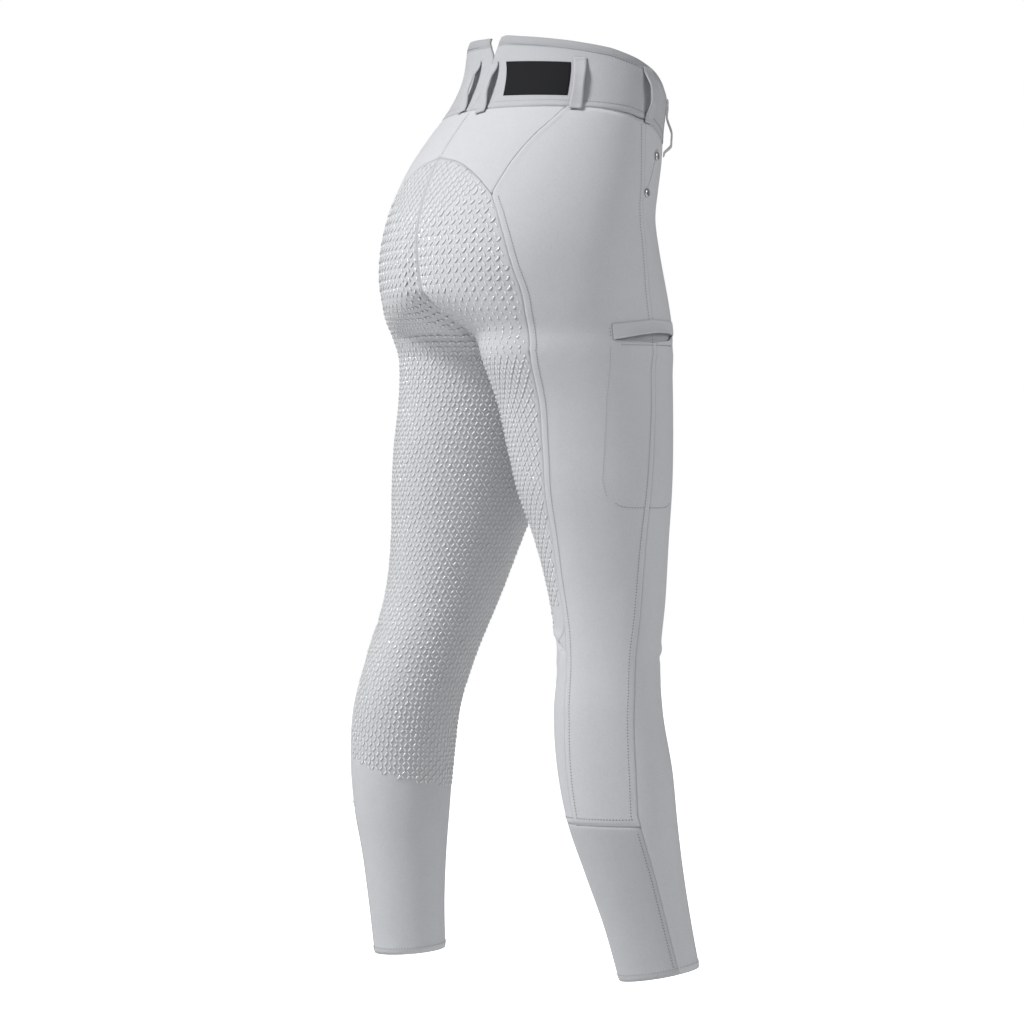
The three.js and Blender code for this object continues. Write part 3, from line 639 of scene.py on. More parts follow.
CLOTH_MATERIAL = knit("stretch_cloth", (0.62, 0.63, 0.655))
BAND_MATERIAL = knit("band_cloth", (0.51, 0.52, 0.545))
# Painted shade: a darker copy of the band cloth for the strip above the band's top stitches.
BAND_TOP_SHADE_MATERIAL = knit("band_top_painted_shade", (0.41, 0.42, 0.44))
GRIP_MATERIAL = knit("grip_cloth", (0.62, 0.63, 0.655), rough=0.72)
ELASTIC_MATERIAL = knit("elastic_knit", (0.52, 0.53, 0.555), rough=0.8, ribs=420.0, grain=0.35)
# Thread of the cloth's own colour, darkened as painted shade of the stitch holes; the pale thread is
# darkened less.
THREAD_SHADE_MATERIAL = plain("thread", (0.13, 0.133, 0.14), 0.6)
PALE_THREAD_SHADE_MATERIAL = plain("thread_pale_painted_shade", (0.36, 0.365, 0.38), 0.6)
SILICONE_MATERIAL = silicone()
# Painted shade: a dark material for the foot ring of each stroke, standing in for the shadow round it.
SILICONE_FOOT_SHADE_MATERIAL = plain("grip_silicone_painted_shade", (0.3, 0.305, 0.315), 0.35)
PATCH_MATERIAL = plain(
    "patch_black", (0.014, 0.0145, 0.016), 0.8, specular=0.12, scale=1200.0, strength=0.3,
)
METAL_MATERIAL = plain("polished_metal", (0.75, 0.76, 0.78), 0.22, metallic=1.0)
# Slot, material and the name's last word for the panels that aren't plain cloth.
PANEL_LOOKS = {
    "seat_inner_leg": ("grip", GRIP_MATERIAL, "cloth"),
    "calf_insert": ("elastic", ELASTIC_MATERIAL, "knit"),
}


def add_shell(name, node, outer, inner, flip, slot="cloth", material=CLOTH_MATERIAL):
    obj = add_object(name, shell_mesh(name, outer, inner, flip), material)
    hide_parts(node)
    return obj


# Panels.

def inner_edge(z):
    """u of the seam between front and inside leg, 0 above the crotch."""
    return float(along(INNER_FRONT, z)) if z < CROTCH_Z else 0.0


def front_rows(t):
    """One row of a front panel, from the waistband at t 0 to the hem at t 1."""
    outer = lerp(FRONT_TOP_Z, HEM_Z, t)
    middle = outer
    if outer > UPPER_TO:
        middle = lerp(FRONT_MIDDLE_TOP_Z, UPPER_TO, share_between(FRONT_TOP_Z, UPPER_TO, outer))
    return inner_edge(outer), middle, float(along(OUTSEAM, outer)), outer


def side_rows(t):
    back = lerp(SIDE_TOP_Z, INSERT_TOP_Z, t)
    fore = back
    if back > UPPER_TO:
        fore = lerp(FRONT_TOP_Z, UPPER_TO, share_between(SIDE_TOP_Z, UPPER_TO, back))
    back_seam = SIDE_BACK if back > YOKE_CORNER_Z else SEAT_SIDE
    return float(along(OUTSEAM, fore)), fore, float(along(back_seam, back)), back


# Heights of the closer rows where the knee is creased, and the least step between rows there.
KNEE_ROWS = np.arange(-604.0, -550.0, 1.7)
LEAST_STEP = 0.8


def with_knee(heights):
    """Falling heights, with the closer rows of the knee between them."""
    low, high = heights.min() + LEAST_STEP, heights.max() - LEAST_STEP
    rows = KNEE_ROWS[(KNEE_ROWS < high) & (KNEE_ROWS > low)]
    apart = (heights > rows.max() + LEAST_STEP) | (heights < rows.min() - LEAST_STEP)
    return np.sort(np.concatenate([heights[apart], rows]))[::-1]


def crotch_levels(top, foot, step):
    """Even levels with one of them at the crotch, as places from 0 to 1."""
    above = np.linspace(top, CROTCH_Z, max(2, int((top - CROTCH_Z) / step)) + 1)
    below = np.linspace(CROTCH_Z, foot, max(2, int((CROTCH_Z - foot) / step)) + 1)[1:]
    heights = with_knee(np.concatenate([above, below]))
    return share_between(top, foot, heights)


def with_mouth(levels, mouth):
    """Places down a panel with two more at the pocket's mouth, and the row of the first of them."""
    levels = np.sort(np.append(levels, [mouth, mouth]))
    return levels, int(np.searchsorted(levels, mouth))


def add_front(side):
    mouth = share_between(FRONT_TOP_Z, HEM_Z, MOUTH_Z)
    levels, mouth_row = with_mouth(crotch_levels(FRONT_TOP_Z, HEM_Z, 5.0), mouth)
    u, z = panel_grid(front_rows, levels, 170.0)
    top = along(BAND_BOTTOM, u[0])
    blend = np.clip(levels * (HEM_Z - FRONT_TOP_Z) / (UPPER_TO - FRONT_TOP_Z), 0, 1)[:, None]
    z = np.where(blend < 1, lerp(top[None, :], UPPER_TO, blend), z)
    z = hemmed(side, u, z)
    solid = None
    if side == "right":
        z, solid = open_mouth(u, z, mouth_row)
    edges = ("plain", "plain", "plain", "stitched")
    add_panel("front", side, u, z, edges, has_middle=True, solid=solid)


# How far down a side panel its rows take up the slant of the waistband's foot.
SIDE_TOP_BLEND = 70.0


def add_side(side):
    heights = with_knee(np.linspace(SIDE_TOP_Z, INSERT_TOP_Z, 142))
    mouth = share_between(SIDE_TOP_Z, INSERT_TOP_Z, MOUTH_Z)
    levels, mouth_row = with_mouth(share_between(SIDE_TOP_Z, INSERT_TOP_Z, heights), mouth)
    u, z = panel_grid(side_rows, levels, 110.0)
    share = np.clip((SIDE_TOP_Z - z[:, -1:]) / SIDE_TOP_BLEND, 0, 1)
    top = along(BAND_BOTTOM, u[0])
    straight = lerp(z[0, :1], z[0, -1:], np.linspace(0, 1, u.shape[1]))
    z = z + (top - straight) * (1 - share)
    solid = None
    if side == "right":
        z, solid = open_mouth(u, z, mouth_row)
    add_panel("side", side, u, z, ("stitched", "stitched", "plain", "stitched"), solid=solid)


def add_yoke(side):
    places = spaced(110.0, 4.0)
    levels = spaced(60.0, 4.0)
    side_edge = lerp(SIDE_TOP_Z, YOKE_CORNER_Z, levels)
    left = along(SIDE_BACK, side_edge)
    u = left[:, None] + (1 - left[:, None]) * places
    top = along(BAND_BOTTOM, u)
    foot = along(SEAT_TOP, lerp(YOKE_CORNER_U, 1, places))[None, :]
    z = lerp(top, foot, levels[:, None])
    z[:, 0] = side_edge
    add_panel("yoke", side, u, z, ("crisp", "plain", "crisp", "crisp"), has_middle=True)


def seat_back_edge(z):
    return np.where(z > CALF_BACK_TOP_Z, along(SEAT_SIDE, z), along(CALF_BACK, z))


def seat_grid(side):
    """The seat and inside leg: columns to the centre back, then round the inseam to the inner front."""
    near = NEAR_EDGE / 120.0
    first = np.concatenate([near, np.linspace(near[-1], 1, 20)[1:]])
    second = np.linspace(0, 1, 26)[1:]
    top_depth = np.linspace(0, 1, 13)
    heights = with_knee(np.concatenate([
        np.linspace(UPPER_TO, CROTCH_Z, 34)[1:], np.linspace(CROTCH_Z, HEM_Z, 128)[1:],
    ]))
    u_rows, z_rows = [], []
    z_top = along(SEAT_TOP, lerp(YOKE_CORNER_U, 1, first))
    for t in top_depth:
        edge = along(SEAT_SIDE, lerp(YOKE_CORNER_Z, UPPER_TO, t))
        u = edge + (1 - edge) * first
        z = lerp(z_top, UPPER_TO, t)
        u_rows.append(np.concatenate([u, np.ones(len(second))]))
        z_rows.append(np.concatenate([z, np.full(len(second), z[-1])]))
    for height in heights:
        edge = float(seat_back_edge(height))
        u = np.concatenate([edge + (1 - edge) * first, 1 + inner_edge(height) * second])
        u_rows.append(u)
        z_rows.append(hemmed(side, u, np.full(len(u), height)))
    return np.array(u_rows), np.array(z_rows)


def add_seat(side):
    u, z = seat_grid(side)
    add_panel("seat_inner_leg", side, u, z, ("plain", "none", "plain", "stitched"), has_middle=True)


def between_seams(left_seam, right_seam, heights, width):
    """u and z grids of a panel between two seams."""
    places = spaced(width, 4.0)
    left = along(left_seam, heights)[:, None]
    right = along(right_seam, heights)[:, None]
    return left + (right - left) * places, np.repeat(heights[:, None], len(places), 1)


def add_calf_back(side):
    heights = with_knee(np.linspace(CALF_BACK_TOP_Z, INSERT_TOP_Z, 60))
    u, z = between_seams(SEAT_SIDE, CALF_BACK, heights, 30.0)
    add_panel("calf_back", side, u, z, ("plain", "plain", "none", "stitched"))


def add_insert(side):
    u, z = between_seams(OUTSEAM, CALF_BACK, np.linspace(INSERT_TOP_Z, HEM_Z, 48), 100.0)
    z = hemmed(side, u, z)
    add_panel("calf_insert", side, u, z, ("plain", "plain", "plain", "stitched"), cloth=ELASTIC)


# Depth and width of the waistband's rolled top edge and of its two rows of stitches.
BAND_ROLL = (1.6, 3.0)
BAND_TOP_GROOVE = (0.35, 0.9)
BAND_FOOT_GROOVE = (0.3, 0.8)
# How much deeper the band's foot rolls in than a panel's edge.
BAND_FOOT_ROLL = 2.2


def groove(distance, depth, width):
    return -depth * bell(distance, width)


def add_band(side):
    """Half of the waistband, with its rolled upper edge and the V notch at the centre back."""
    places = spaced(330.0, 5.0)
    shares = spaced(75.0, 4.0)[::-1]
    u = np.repeat(places[None, :], len(shares), 0)
    z = lerp(along(BAND_BOTTOM, u), along(BAND_TOP[side], u), shares[:, None])
    from_left, from_right, from_top, from_foot = distances(body(side, u, z))
    roll = groove(from_top, *BAND_ROLL) + groove(from_top - BAND_TOP_STITCH, *BAND_TOP_GROOVE)
    stitch = groove(from_foot - BAND_FOOT_STITCH, *BAND_FOOT_GROOVE)
    edges = BAND_FOOT_ROLL * edge_form(from_foot, "plain")
    edges = edges + edge_form(from_left, "plain") + edge_form(from_right, "plain")
    form = BAND_LIFT + roll + stitch + edges
    notch = smooth(NOTCH_FOOT_Z, NOTCH_TOP_Z, z) * NOTCH_HALF_WIDTH[side]
    at_back = u > 1 - TINY
    grids = []
    for level in (form, np.minimum(form, BAND_LIFT + 0.2) - BAND_CLOTH):
        points = surface(side, u, z, level)
        shifted = np.abs(points[..., 0]) + notch * smooth(0.9, 1.0, u)
        shifted = np.where(at_back, notch, shifted)
        points[..., 0] = SIGN[side] * np.maximum(shifted, MIDDLE_GAP)
        grids.append(points)
    node = f"waistband_{side}"
    obj = add_shell(f"{node}_cloth", node, *grids, side == "right", material=BAND_MATERIAL)
    # The faces above the top row of stitches take the darker copy, as painted shade.
    obj.data.materials.append(BAND_TOP_SHADE_MATERIAL)
    top_shade_rows = int(np.sum(from_top[:, 0] < BAND_TOP_STITCH))
    for face in obj.data.polygons:
        row = min(v % u.size for v in face.vertices) // u.shape[1]
        face.material_index = int(row < top_shade_rows - 1)


# Belt loops: name, side, top and foot as (u, z), how far the feet and the slack stand off, and
# whether the slack hangs low.
LOOPS = [
    ("back_a", "left", (0.93, 13), (0.967, -41), 1.7, 5.5, False),
    ("back_b", "right", (0.985, 9), (0.945, -45), 1.7, 5.5, False),
    ("hip_right", "right", (0.701, 7), (0.667, -46.5), 1.5, 3.6, False),
    ("hip_left", "left", (0.625, 4), (0.595, -50), 1.5, 2.5, False),
    ("side_right", "right", (0.453, -1), (0.408, -57), 1.2, 6.5, False),
    ("side_left", "left", (0.453, -1), (0.408, -57), 1.2, 6.5, False),
    ("front_right", "right", (0.26, -27), (0.238, -84), 1.0, 7.0, True),
    ("front_left", "left", (0.26, -27), (0.238, -84), 1.0, 7.0, True),
]
LOOP_WIDTH = 13.0
LOOP_STEPS = 44
# Across a loop, from edge to edge: the place in half widths and the height of the cloth.
LOOP_PROFILE = np.array([
    (-1, 0.1), (-0.93, 1.0), (-0.8, 1.45), (-0.6, 1.3), (-0.3, 1.1), (0, 1.05),
    (0.3, 1.1), (0.6, 1.3), (0.8, 1.45), (0.93, 1.0), (1, 0.1),
])
# How much thicker the cloth of the loops with low slack is.
LOW_LOOP_CLOTH = 1.3


def add_loop(at, side, top, foot, stand, slack, low):
    """A belt loop: a folded strip with rolled edges and turned ends, slack over the waistband."""
    t = np.linspace(0, 1, LOOP_STEPS + 1)
    u, z = lerp(top[0], foot[0], t), lerp(top[1], foot[1], t)
    points, normals = body(side, u, z), normal(side, u, z)
    across = unit(np.cross(unit(points[-1] - points[0]), normals))
    rise, fall = (0.62, 0.8) if low else (0.4, 0.6)
    height = stand + slack * smooth(rise - 0.36, rise, t) * (1 - smooth(fall, 0.97, t))
    pinch = 1 - 0.16 * bell(t - 0.55, 0.25)
    ends = 1 - 0.5 * bell(t, 0.02) - 0.5 * bell(1 - t, 0.02)
    bars = 0.35 * bell(t - 0.07, 0.02) + 0.35 * bell(t - 0.93, 0.02)
    cloth = LOOP_PROFILE[:, 1] * (LOW_LOOP_CLOTH if low else 1.0)
    offset = LOOP_PROFILE[:, 0] * (LOOP_WIDTH / 2) * pinch[:, None]
    laid_out = points[:, None] + across[:, None] * offset[..., None]
    top_face = height[:, None] + cloth * (ends - bars)[:, None]
    outer = laid_out + normals[:, None] * top_face[..., None]
    inner = laid_out + normals[:, None] * height[:, None, None]
    node = "belt_loop_" + at
    obj = add_shell(node + "_strip", node, outer, inner, True, material=BAND_MATERIAL)


# Trim sewn on the panels.

SEWN_EDGE = 0.5


def add_sewn_on(node, ending, side, u, z, height, cloth, slot="cloth", material=CLOTH_MATERIAL):
    """A small piece on a panel: its edges roll down over the last of their width."""
    roll = sum(bell(d, 0.6) for d in distances(body(side, u, z)))
    outer = surface(side, u, z, height + cloth - SEWN_EDGE * np.clip(roll, 0, 1))
    inner = surface(side, u, z, height)
    return add_shell(f"{node}_{ending}", node, outer, inner, side == "right", slot, material)


def trim_places(length, width, step, across_step):
    """Places down and across a small piece from 0 to 1, as a column and a row."""
    return spaced(length, step)[:, None], spaced(width, across_step)[None, :]


def add_label_patch():
    down, across = trim_places(36.0, 83.0, 3.0, 3.0)
    u = lerp(lerp(0.727, 0.706, down), lerp(0.94, 0.9, down), across)
    z = lerp(lerp(2.5, -32, down), lerp(9, -28, down), across)
    lift = BAND_LIFT + 0.1
    add_sewn_on("label_patch", "plate", "right", u, z, lift, 1.0, "patch", PATCH_MATERIAL)


def add_welt():
    """The folded welt over the pocket's mouth; its lower edge arches and stands a little open."""
    down, across = trim_places(12.0, 98.0, 1.5, 2.5)
    u = lerp(MOUTH[0, 0], 0.514, across) + 0 * down
    foot = np.interp(u, MOUTH[:, 0], MOUTH[:, 1]) - 0.3
    z = lerp(along(WELT_TOP, u), foot, down)
    height = 0.15 + 2.4 * mouth_width(u) * down**2
    obj = add_sewn_on("thigh_pocket_welt", "fold", "right", u, z, height, 1.2)


BAG_TOP_Z = -257.0
BAG_FOOT_Z = -436.0


def add_bag():
    """The bag inside the leg, close behind the mouth."""
    heights = np.concatenate([np.linspace(BAG_TOP_Z, -300, 16), np.linspace(-306, BAG_FOOT_Z, 22)])
    right = np.interp(heights, [BAG_FOOT_Z, -424, BAG_TOP_Z], [0.345, 0.326, 0.324])
    u = lerp(right[:, None], along(BAG_BACK_EDGE, heights)[:, None], np.linspace(0, 1, 26))
    z = np.repeat(heights[:, None], u.shape[1], 1)
    sag = 4.5 * mouth_width(u) * smooth(-330, -285, z) * (1 - smooth(-266, BAG_TOP_Z, z))
    outer = surface("right", u, z, -CLOTH - 0.5 - sag)
    inner = surface("right", u, z, -CLOTH - 1.5 - sag)
    obj = add_shell("thigh_pocket_bag_cloth", "thigh_pocket_bag", outer, inner, True)


# The slanted mouth of a front pocket, evenly spaced down it, as u and z.
FACING_EDGE = np.array([(0.33, -80), (0.337, -91), (0.346, -103), (0.357, -115), (0.371, -126)])


def add_pocket_facing(side):
    """The facing along the slanted mouth of a front pocket."""
    t = np.linspace(0, 1, 24)
    knots = np.linspace(0, 1, len(FACING_EDGE))
    edge_u, edge_z = (np.interp(t, knots, column)[:, None] for column in FACING_EDGE.T)
    inward = 1 - spaced(11.0, 1.5)[None, :]
    node = f"front_pocket_facing_{side}"
    u, z = edge_u - 0.022 * inward, edge_z - 4 * inward
    add_sewn_on(node, "cloth", side, u, z, 0.1, 0.7)


# The fly facing's outer edge, as z and u.
FLY_EDGE = [(-88, 0.068), (-118, 0.068), (-150, 0.065), (-178, 0.056), (-200, 0.044)]


def add_fly():
    z = np.linspace(FLY_EDGE[0][0], FLY_EDGE[-1][0], 34)[:, None]
    u = lerp(0.004, along(FLY_EDGE, z), spaced(32.0, 3.0)[None, :])
    add_sewn_on("fly_facing", "cloth", "right", u, z + 0 * u, 0.35, 1.0)


# A metal cap from its rim to its middle: radius and height as shares of the whole.
CAP_PROFILE = [
    (0.98, 0), (1.0, 0.25), (0.96, 0.6), (0.85, 0.95), (0.7, 1.1), (0.5, 1.0), (0.3, 0.95), (0.02, 1.0),
]
CAP_STEPS = 32
CAP_HEIGHT = 1.6
RIVET_RADIUS = 4.6
SNAP_RADIUS = 7.5


def add_cap(name, node, side, u, z, base, radius):
    """A rivet or snap cap turned from a profile, with a rolled rim and a shallow dished middle."""
    u, z = np.array(u), np.array(float(z))
    up = normal(side, u, z)
    centre = surface(side, u, z, np.array(base))
    one = unit(np.cross(up, [0, 0, 1.0]))
    two = np.cross(up, one)
    turn = np.linspace(0, 2 * np.pi, CAP_STEPS, endpoint=False)[:, None]
    ring = np.cos(turn) * one + np.sin(turn) * two
    rings = [centre + up * h * CAP_HEIGHT + ring * r * radius for r, h in CAP_PROFILE]
    points = np.concatenate(rings + [[centre]])
    last = len(points) - 1
    top = last - CAP_STEPS
    faces = []
    for low in range(0, top, CAP_STEPS):
        for k in range(CAP_STEPS):
            a, b = low + k, low + (k + 1) % CAP_STEPS
            faces.append((a, b, b + CAP_STEPS, a + CAP_STEPS))
    faces.append(tuple(range(top, last)))
    faces += [((k + 1) % CAP_STEPS, k, last) for k in range(CAP_STEPS)]
    obj = add_object(name, mesh_from(name, points, faces), METAL_MATERIAL)
    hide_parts(node)


def add_metal():
    for side in SIDES:
        for end, u, z, base in (("top", 0.333, -88, 0.9), ("foot", 0.368, -127, 0.5)):
            node = f"rivet_pocket_{end}_{side}"
            add_cap(f"rivet_{end}_{side}_cap", node, side, u, z, base, RIVET_RADIUS)
    add_cap("waist_snap_cap", "waist_snap", "right", 0.03, -56, BAND_LIFT + 0.2, SNAP_RADIUS)


# Small things laid on the cloth as joined meshes.

def band_faces(low, count):
    """Triangles between two rings of points that follow each other."""
    faces = []
    for k in range(count):
        a, b = low + k, low + (k + 1) % count
        faces += [(a, b, b + count), (a, b + count, a + count)]
    return faces


def bead():
    """A thread bead as points (along, across, up) and faces, one long and one wide and high."""
    points = [(-0.5, 0, 0)]
    for at in (-0.3, 0.3):
        points += [(at, 0.5, 0), (at, 0, 0.5), (at, -0.5, 0), (at, 0, -0.5)]
    points.append((0.5, 0, 0))
    faces = band_faces(1, 4)
    for k in range(4):
        a, b = 1 + k, 1 + (k + 1) % 4
        faces += [(0, b, a), (9, a + 4, b + 4)]
    return np.array(points, float), np.array(faces)


# A stroke's outline from above, and its rings from the foot up: length, width and height.
STROKE_OUTLINE = [
    (-0.5, 0), (-0.36, -0.42), (0, -0.5), (0.36, -0.42), (0.5, 0), (0.36, 0.42), (0, 0.5), (-0.36, 0.42),
]
STROKE_RINGS = [(1.08, 1.2, -0.2), (0.9, 0.82, 0.55), (0.66, 0.45, 1.0)]


def dome():
    """A raised stroke with rounded ends, one long, one wide and one high."""
    points = [(x * long, y * wide, up) for long, wide, up in STROKE_RINGS for x, y in STROKE_OUTLINE]
    faces = band_faces(0, 8) + band_faces(8, 8)
    faces += [(16, 16 + k, 17 + k) for k in range(1, 7)]
    return np.array(points, float), np.array(faces)


def scatter(name, shape, centres, ways, normals, sizes, material):
    """One joined mesh with the shape at each centre. sizes are length, width and height of each."""
    points, faces = shape
    across = np.cross(normals, ways)
    frames = np.stack([ways, across, normals], 1)
    local = points[None, :, :] * sizes[:, None, :]
    placed = np.einsum("npk,nkj->npj", local, frames) + centres[:, None, :]
    shift = (np.arange(len(centres)) * len(points))[:, None, None]
    all_faces = (faces[None, :, :] + shift).reshape(-1, 3)
    mesh = mesh_from(name, placed.reshape(-1, 3), all_faces.tolist())
    return add_object(name, mesh, material)


def laid(ways, normals):
    """Directions of length 1 laid flat on the cloth."""
    return unit(ways - normals * np.sum(ways * normals, 1, keepdims=True))


def beside(side, u, z, distance):
    """u at a distance in millimetres from a line, towards greater u."""
    return u + distance / girth(side, u, z)


STITCH_PITCH = 3.0
STITCH_SIZE = (1.25, 0.95, 0.6)


def stitch_places(side, u, z, height):
    """Even places along a line on the cloth: centres, directions and normals."""
    run = running_length(surface(side, u, z, height))
    count = max(2, int(run[-1] / STITCH_PITCH))
    stations = (np.arange(count) + 0.5) * run[-1] / count
    at_u, ahead_u = (np.interp(stations + step, run, u) for step in (0, 0.5))
    at_z, ahead_z = (np.interp(stations + step, run, z) for step in (0, 0.5))
    centres = surface(side, at_u, at_z, height)
    normals = normal(side, at_u, at_z)
    return centres, laid(surface(side, ahead_u, ahead_z, height) - centres, normals), normals


def add_stitches(name, lines, thread=THREAD_SHADE_MATERIAL):
    """Rows of stitches as one piece, darkened as painted shade of the stitch holes. Each line is side, u, z
    and height over the cloth.
    """
    made = [stitch_places(*line) for line in lines]
    centres, ways, normals = (np.concatenate(parts) for parts in zip(*made))
    sizes = np.tile(STITCH_SIZE, (len(centres), 1))
    scatter(name, bead(), centres, ways, normals, sizes, thread)


SEAM_STITCH_HEIGHT = ALLOWANCE - STITCH_DEPTH + 0.12
SEAM_STITCH_FOOT = INSERT_TOP_Z + 6


def seam_lines(side):
    """Topstitching along the side panel, the calf edge and the insert."""
    lines = []
    z = np.linspace(YOKE_CORNER_Z - 2, SEAM_STITCH_FOOT, 300)
    u = beside(side, along(SEAT_SIDE, z), z, -STITCH_FROM_EDGE)
    lines.append((side, u, z, SEAM_STITCH_HEIGHT))
    z = np.linspace(FRONT_TOP_Z - 5, SEAM_STITCH_FOOT, 340)
    u = beside(side, along(OUTSEAM, z), z, STITCH_FROM_EDGE)
    lines.append((side, u, z, SEAM_STITCH_HEIGHT))
    u = np.linspace(0.475, 0.744, 160)
    lines.append((side, u, np.full(u.shape, INSERT_TOP_Z + STITCH_FROM_EDGE), SEAM_STITCH_HEIGHT))
    z = np.linspace(INSERT_TOP_Z - 6, HEM_Z + 10, 90)
    lines.append((side, beside(side, along(OUTSEAM, z), z, 4.5), z, 0.15))
    return lines


def hem_lines(side):
    u = np.linspace(0, 1, 400)
    level = hemmed(side, u, np.full(u.shape, HEM_Z)) + STITCH_FROM_EDGE
    return [(side, u, level, SEAM_STITCH_HEIGHT)]


def band_lines(side):
    u = np.linspace(0.004, 0.975, 500)
    top = along(BAND_TOP[side], u) - BAND_TOP_STITCH
    foot = along(BAND_BOTTOM, u) + BAND_FOOT_STITCH
    return [(side, u, top, BAND_LIFT - 0.2), (side, u, foot, BAND_LIFT - 0.15)]


def yoke_lines():
    """The right half of the centre back seam in the yoke."""
    z = np.linspace(-43, -86, 60)
    return [("right", beside("right", np.full(z.shape, 0.999), z, -2.2), z, 0.12)]


def pocket_lines():
    """Through the cloth round the bag, beside the welt's end and under the mouth."""
    side_z = np.linspace(-281, -428, 120)
    foot_u = np.linspace(0.506, 0.34, 80)
    foot_z = -439 + 5 * np.abs((foot_u - 0.423) / 0.083) ** 6
    end_z = np.linspace(-262, -272, 12)
    return [
        ("right", along(BAG_BACK_EDGE, side_z), side_z, 0.12),
        ("right", foot_u, foot_z, 0.1),
        ("right", np.linspace(0.5, 0.36, 60), np.linspace(-279.5, -277.5, 60), 0.15),
        ("right", np.full(end_z.shape, 0.5185), end_z, 0.15),
    ]


def fly_lines():
    z = np.linspace(-90, -196, 90)
    return [("right", along(FLY_EDGE, z) - 0.004, z, 1.42)]


def add_all_stitches():
    for side in SIDES:
        add_stitches(f"topstitch_{side}", seam_lines(side))
        add_stitches(f"band_stitch_{side}", band_lines(side))
        add_stitches(f"hem_stitch_{side}", hem_lines(side), PALE_THREAD_SHADE_MATERIAL)
    add_stitches("yoke_stitch", yoke_lines())
    pocket = pocket_lines()
    add_stitches("pocket_stitch", pocket[1:])
    add_stitches("pocket_side_stitch", pocket[:1], PALE_THREAD_SHADE_MATERIAL)
    add_stitches("fly_stitch", fly_lines())


# The grip print: a net of short raised strokes leaning both ways.

PRINT_STEP = 9.5
PRINT_MARGIN = 3.5
PRINT_TOP_Z = -92.0
PRINT_END_Z = -732.0
OFF_CENTRE_BACK = 1.6
# Below the knee the print stays further off the plain strip at the back of the calf.
CALF_TOP = -536.0
CALF_MARGIN = {"left": 0.0, "right": 26.0}
PRINT_FOOT = [(0.65, -690), (0.8, -700), (0.9, -710), (1.0, -719), (1.14, -726), (1.24, -728)]
# Strokes of the print by zone, each as length, width and height. At the top and on the legs they
# make a close net, on the cheeks a wide one of single strokes.
STROKES = {
    "rising": {
        "lean": 47, "start": 0.0,
        "top": (6.5, 1.7, 0.8), "cheek": (6.6, 2.3, 1.15), "leg": (5.2, 2.0, 0.9),
    },
    "falling": {
        "lean": 124, "start": 0.5,
        "top": (6.5, 1.6, 0.75), "cheek": (5.8, 1.6, 0.8), "leg": (4.8, 1.6, 0.7),
    },
}
ZONES = ("top", "cheek", "leg")
# Where the close net at the top ends, and where the one on the legs begins.
NET_FOOT = [(0.8, -116), (0.9, -140), (1.0, -178)]
LEG_NET_TOP = {"left": -238.0, "right": -292.0}
# How short the strokes get at the foot of the cheeks.
SHORTEST = 0.55
# Faces of a stroke's lower ring, which have the darker material: painted shade round each stroke's foot.
SHADED_FOOT_FACES = 2 * len(STROKE_OUTLINE)


def print_row(side, height):
    """u across the print at a height, and the lengths there from the inseam or the centre back."""
    low = float(seat_back_edge(np.array(height)))
    u = np.linspace(low, 1 + inner_edge(height), 160)
    run = running_length(body(side, u, np.full(u.shape, height)))
    return u, run - np.interp(1.0, u, run)


def zone_at(side, u, height):
    """Of which zone the print at these places is."""
    if height < LEG_NET_TOP[side]:
        return np.full(u.shape, "leg")
    return np.where(height > along(NET_FOOT, np.minimum(u, 1.0)), "top", "cheek")


def print_places(side, zone, start):
    """u and z of the strokes of one lean in one zone, on a net that follows the cloth."""
    close = zone != "cheek"
    row_step = PRINT_STEP / 2 if close else PRINT_STEP
    stagger = 0.5 if close else 0.0
    top = PRINT_TOP_Z - (0 if close else start * PRINT_STEP)
    places = []
    for row, height in enumerate(np.arange(top, PRINT_END_Z, -row_step)):
        u, run = print_row(side, height)
        first = PRINT_STEP * ((row * stagger + start) % 1.0)
        steps = np.arange(-40, 41) * PRINT_STEP + first
        bare = PRINT_MARGIN + (CALF_MARGIN[side] if height < CALF_TOP else 0.0)
        inside = (steps > run[0] + bare) & (steps < run[-1] - PRINT_MARGIN)
        if height > CROTCH_Z:
            inside &= steps < -OFF_CENTRE_BACK
        at = np.interp(steps[inside], run, u)
        keep = height < along(SEAT_TOP, np.minimum(at, 1.0)) - PRINT_MARGIN
        keep &= height > along(PRINT_FOOT, at)
        keep &= zone_at(side, at, height) == zone
        places += [(value, height) for value in at[keep]]
    return np.array(places)


def stroke_sizes(kind, zone, z):
    sizes = np.tile(STROKES[kind][zone], (len(z), 1)).astype(float)
    if zone == "cheek":
        shorter = lerp(1.0, SHORTEST, smooth(-200, -255, z))
        sizes[:, 0] = sizes[:, 0] * shorter
        sizes[:, 2] = sizes[:, 2] * np.sqrt(shorter)
    return sizes


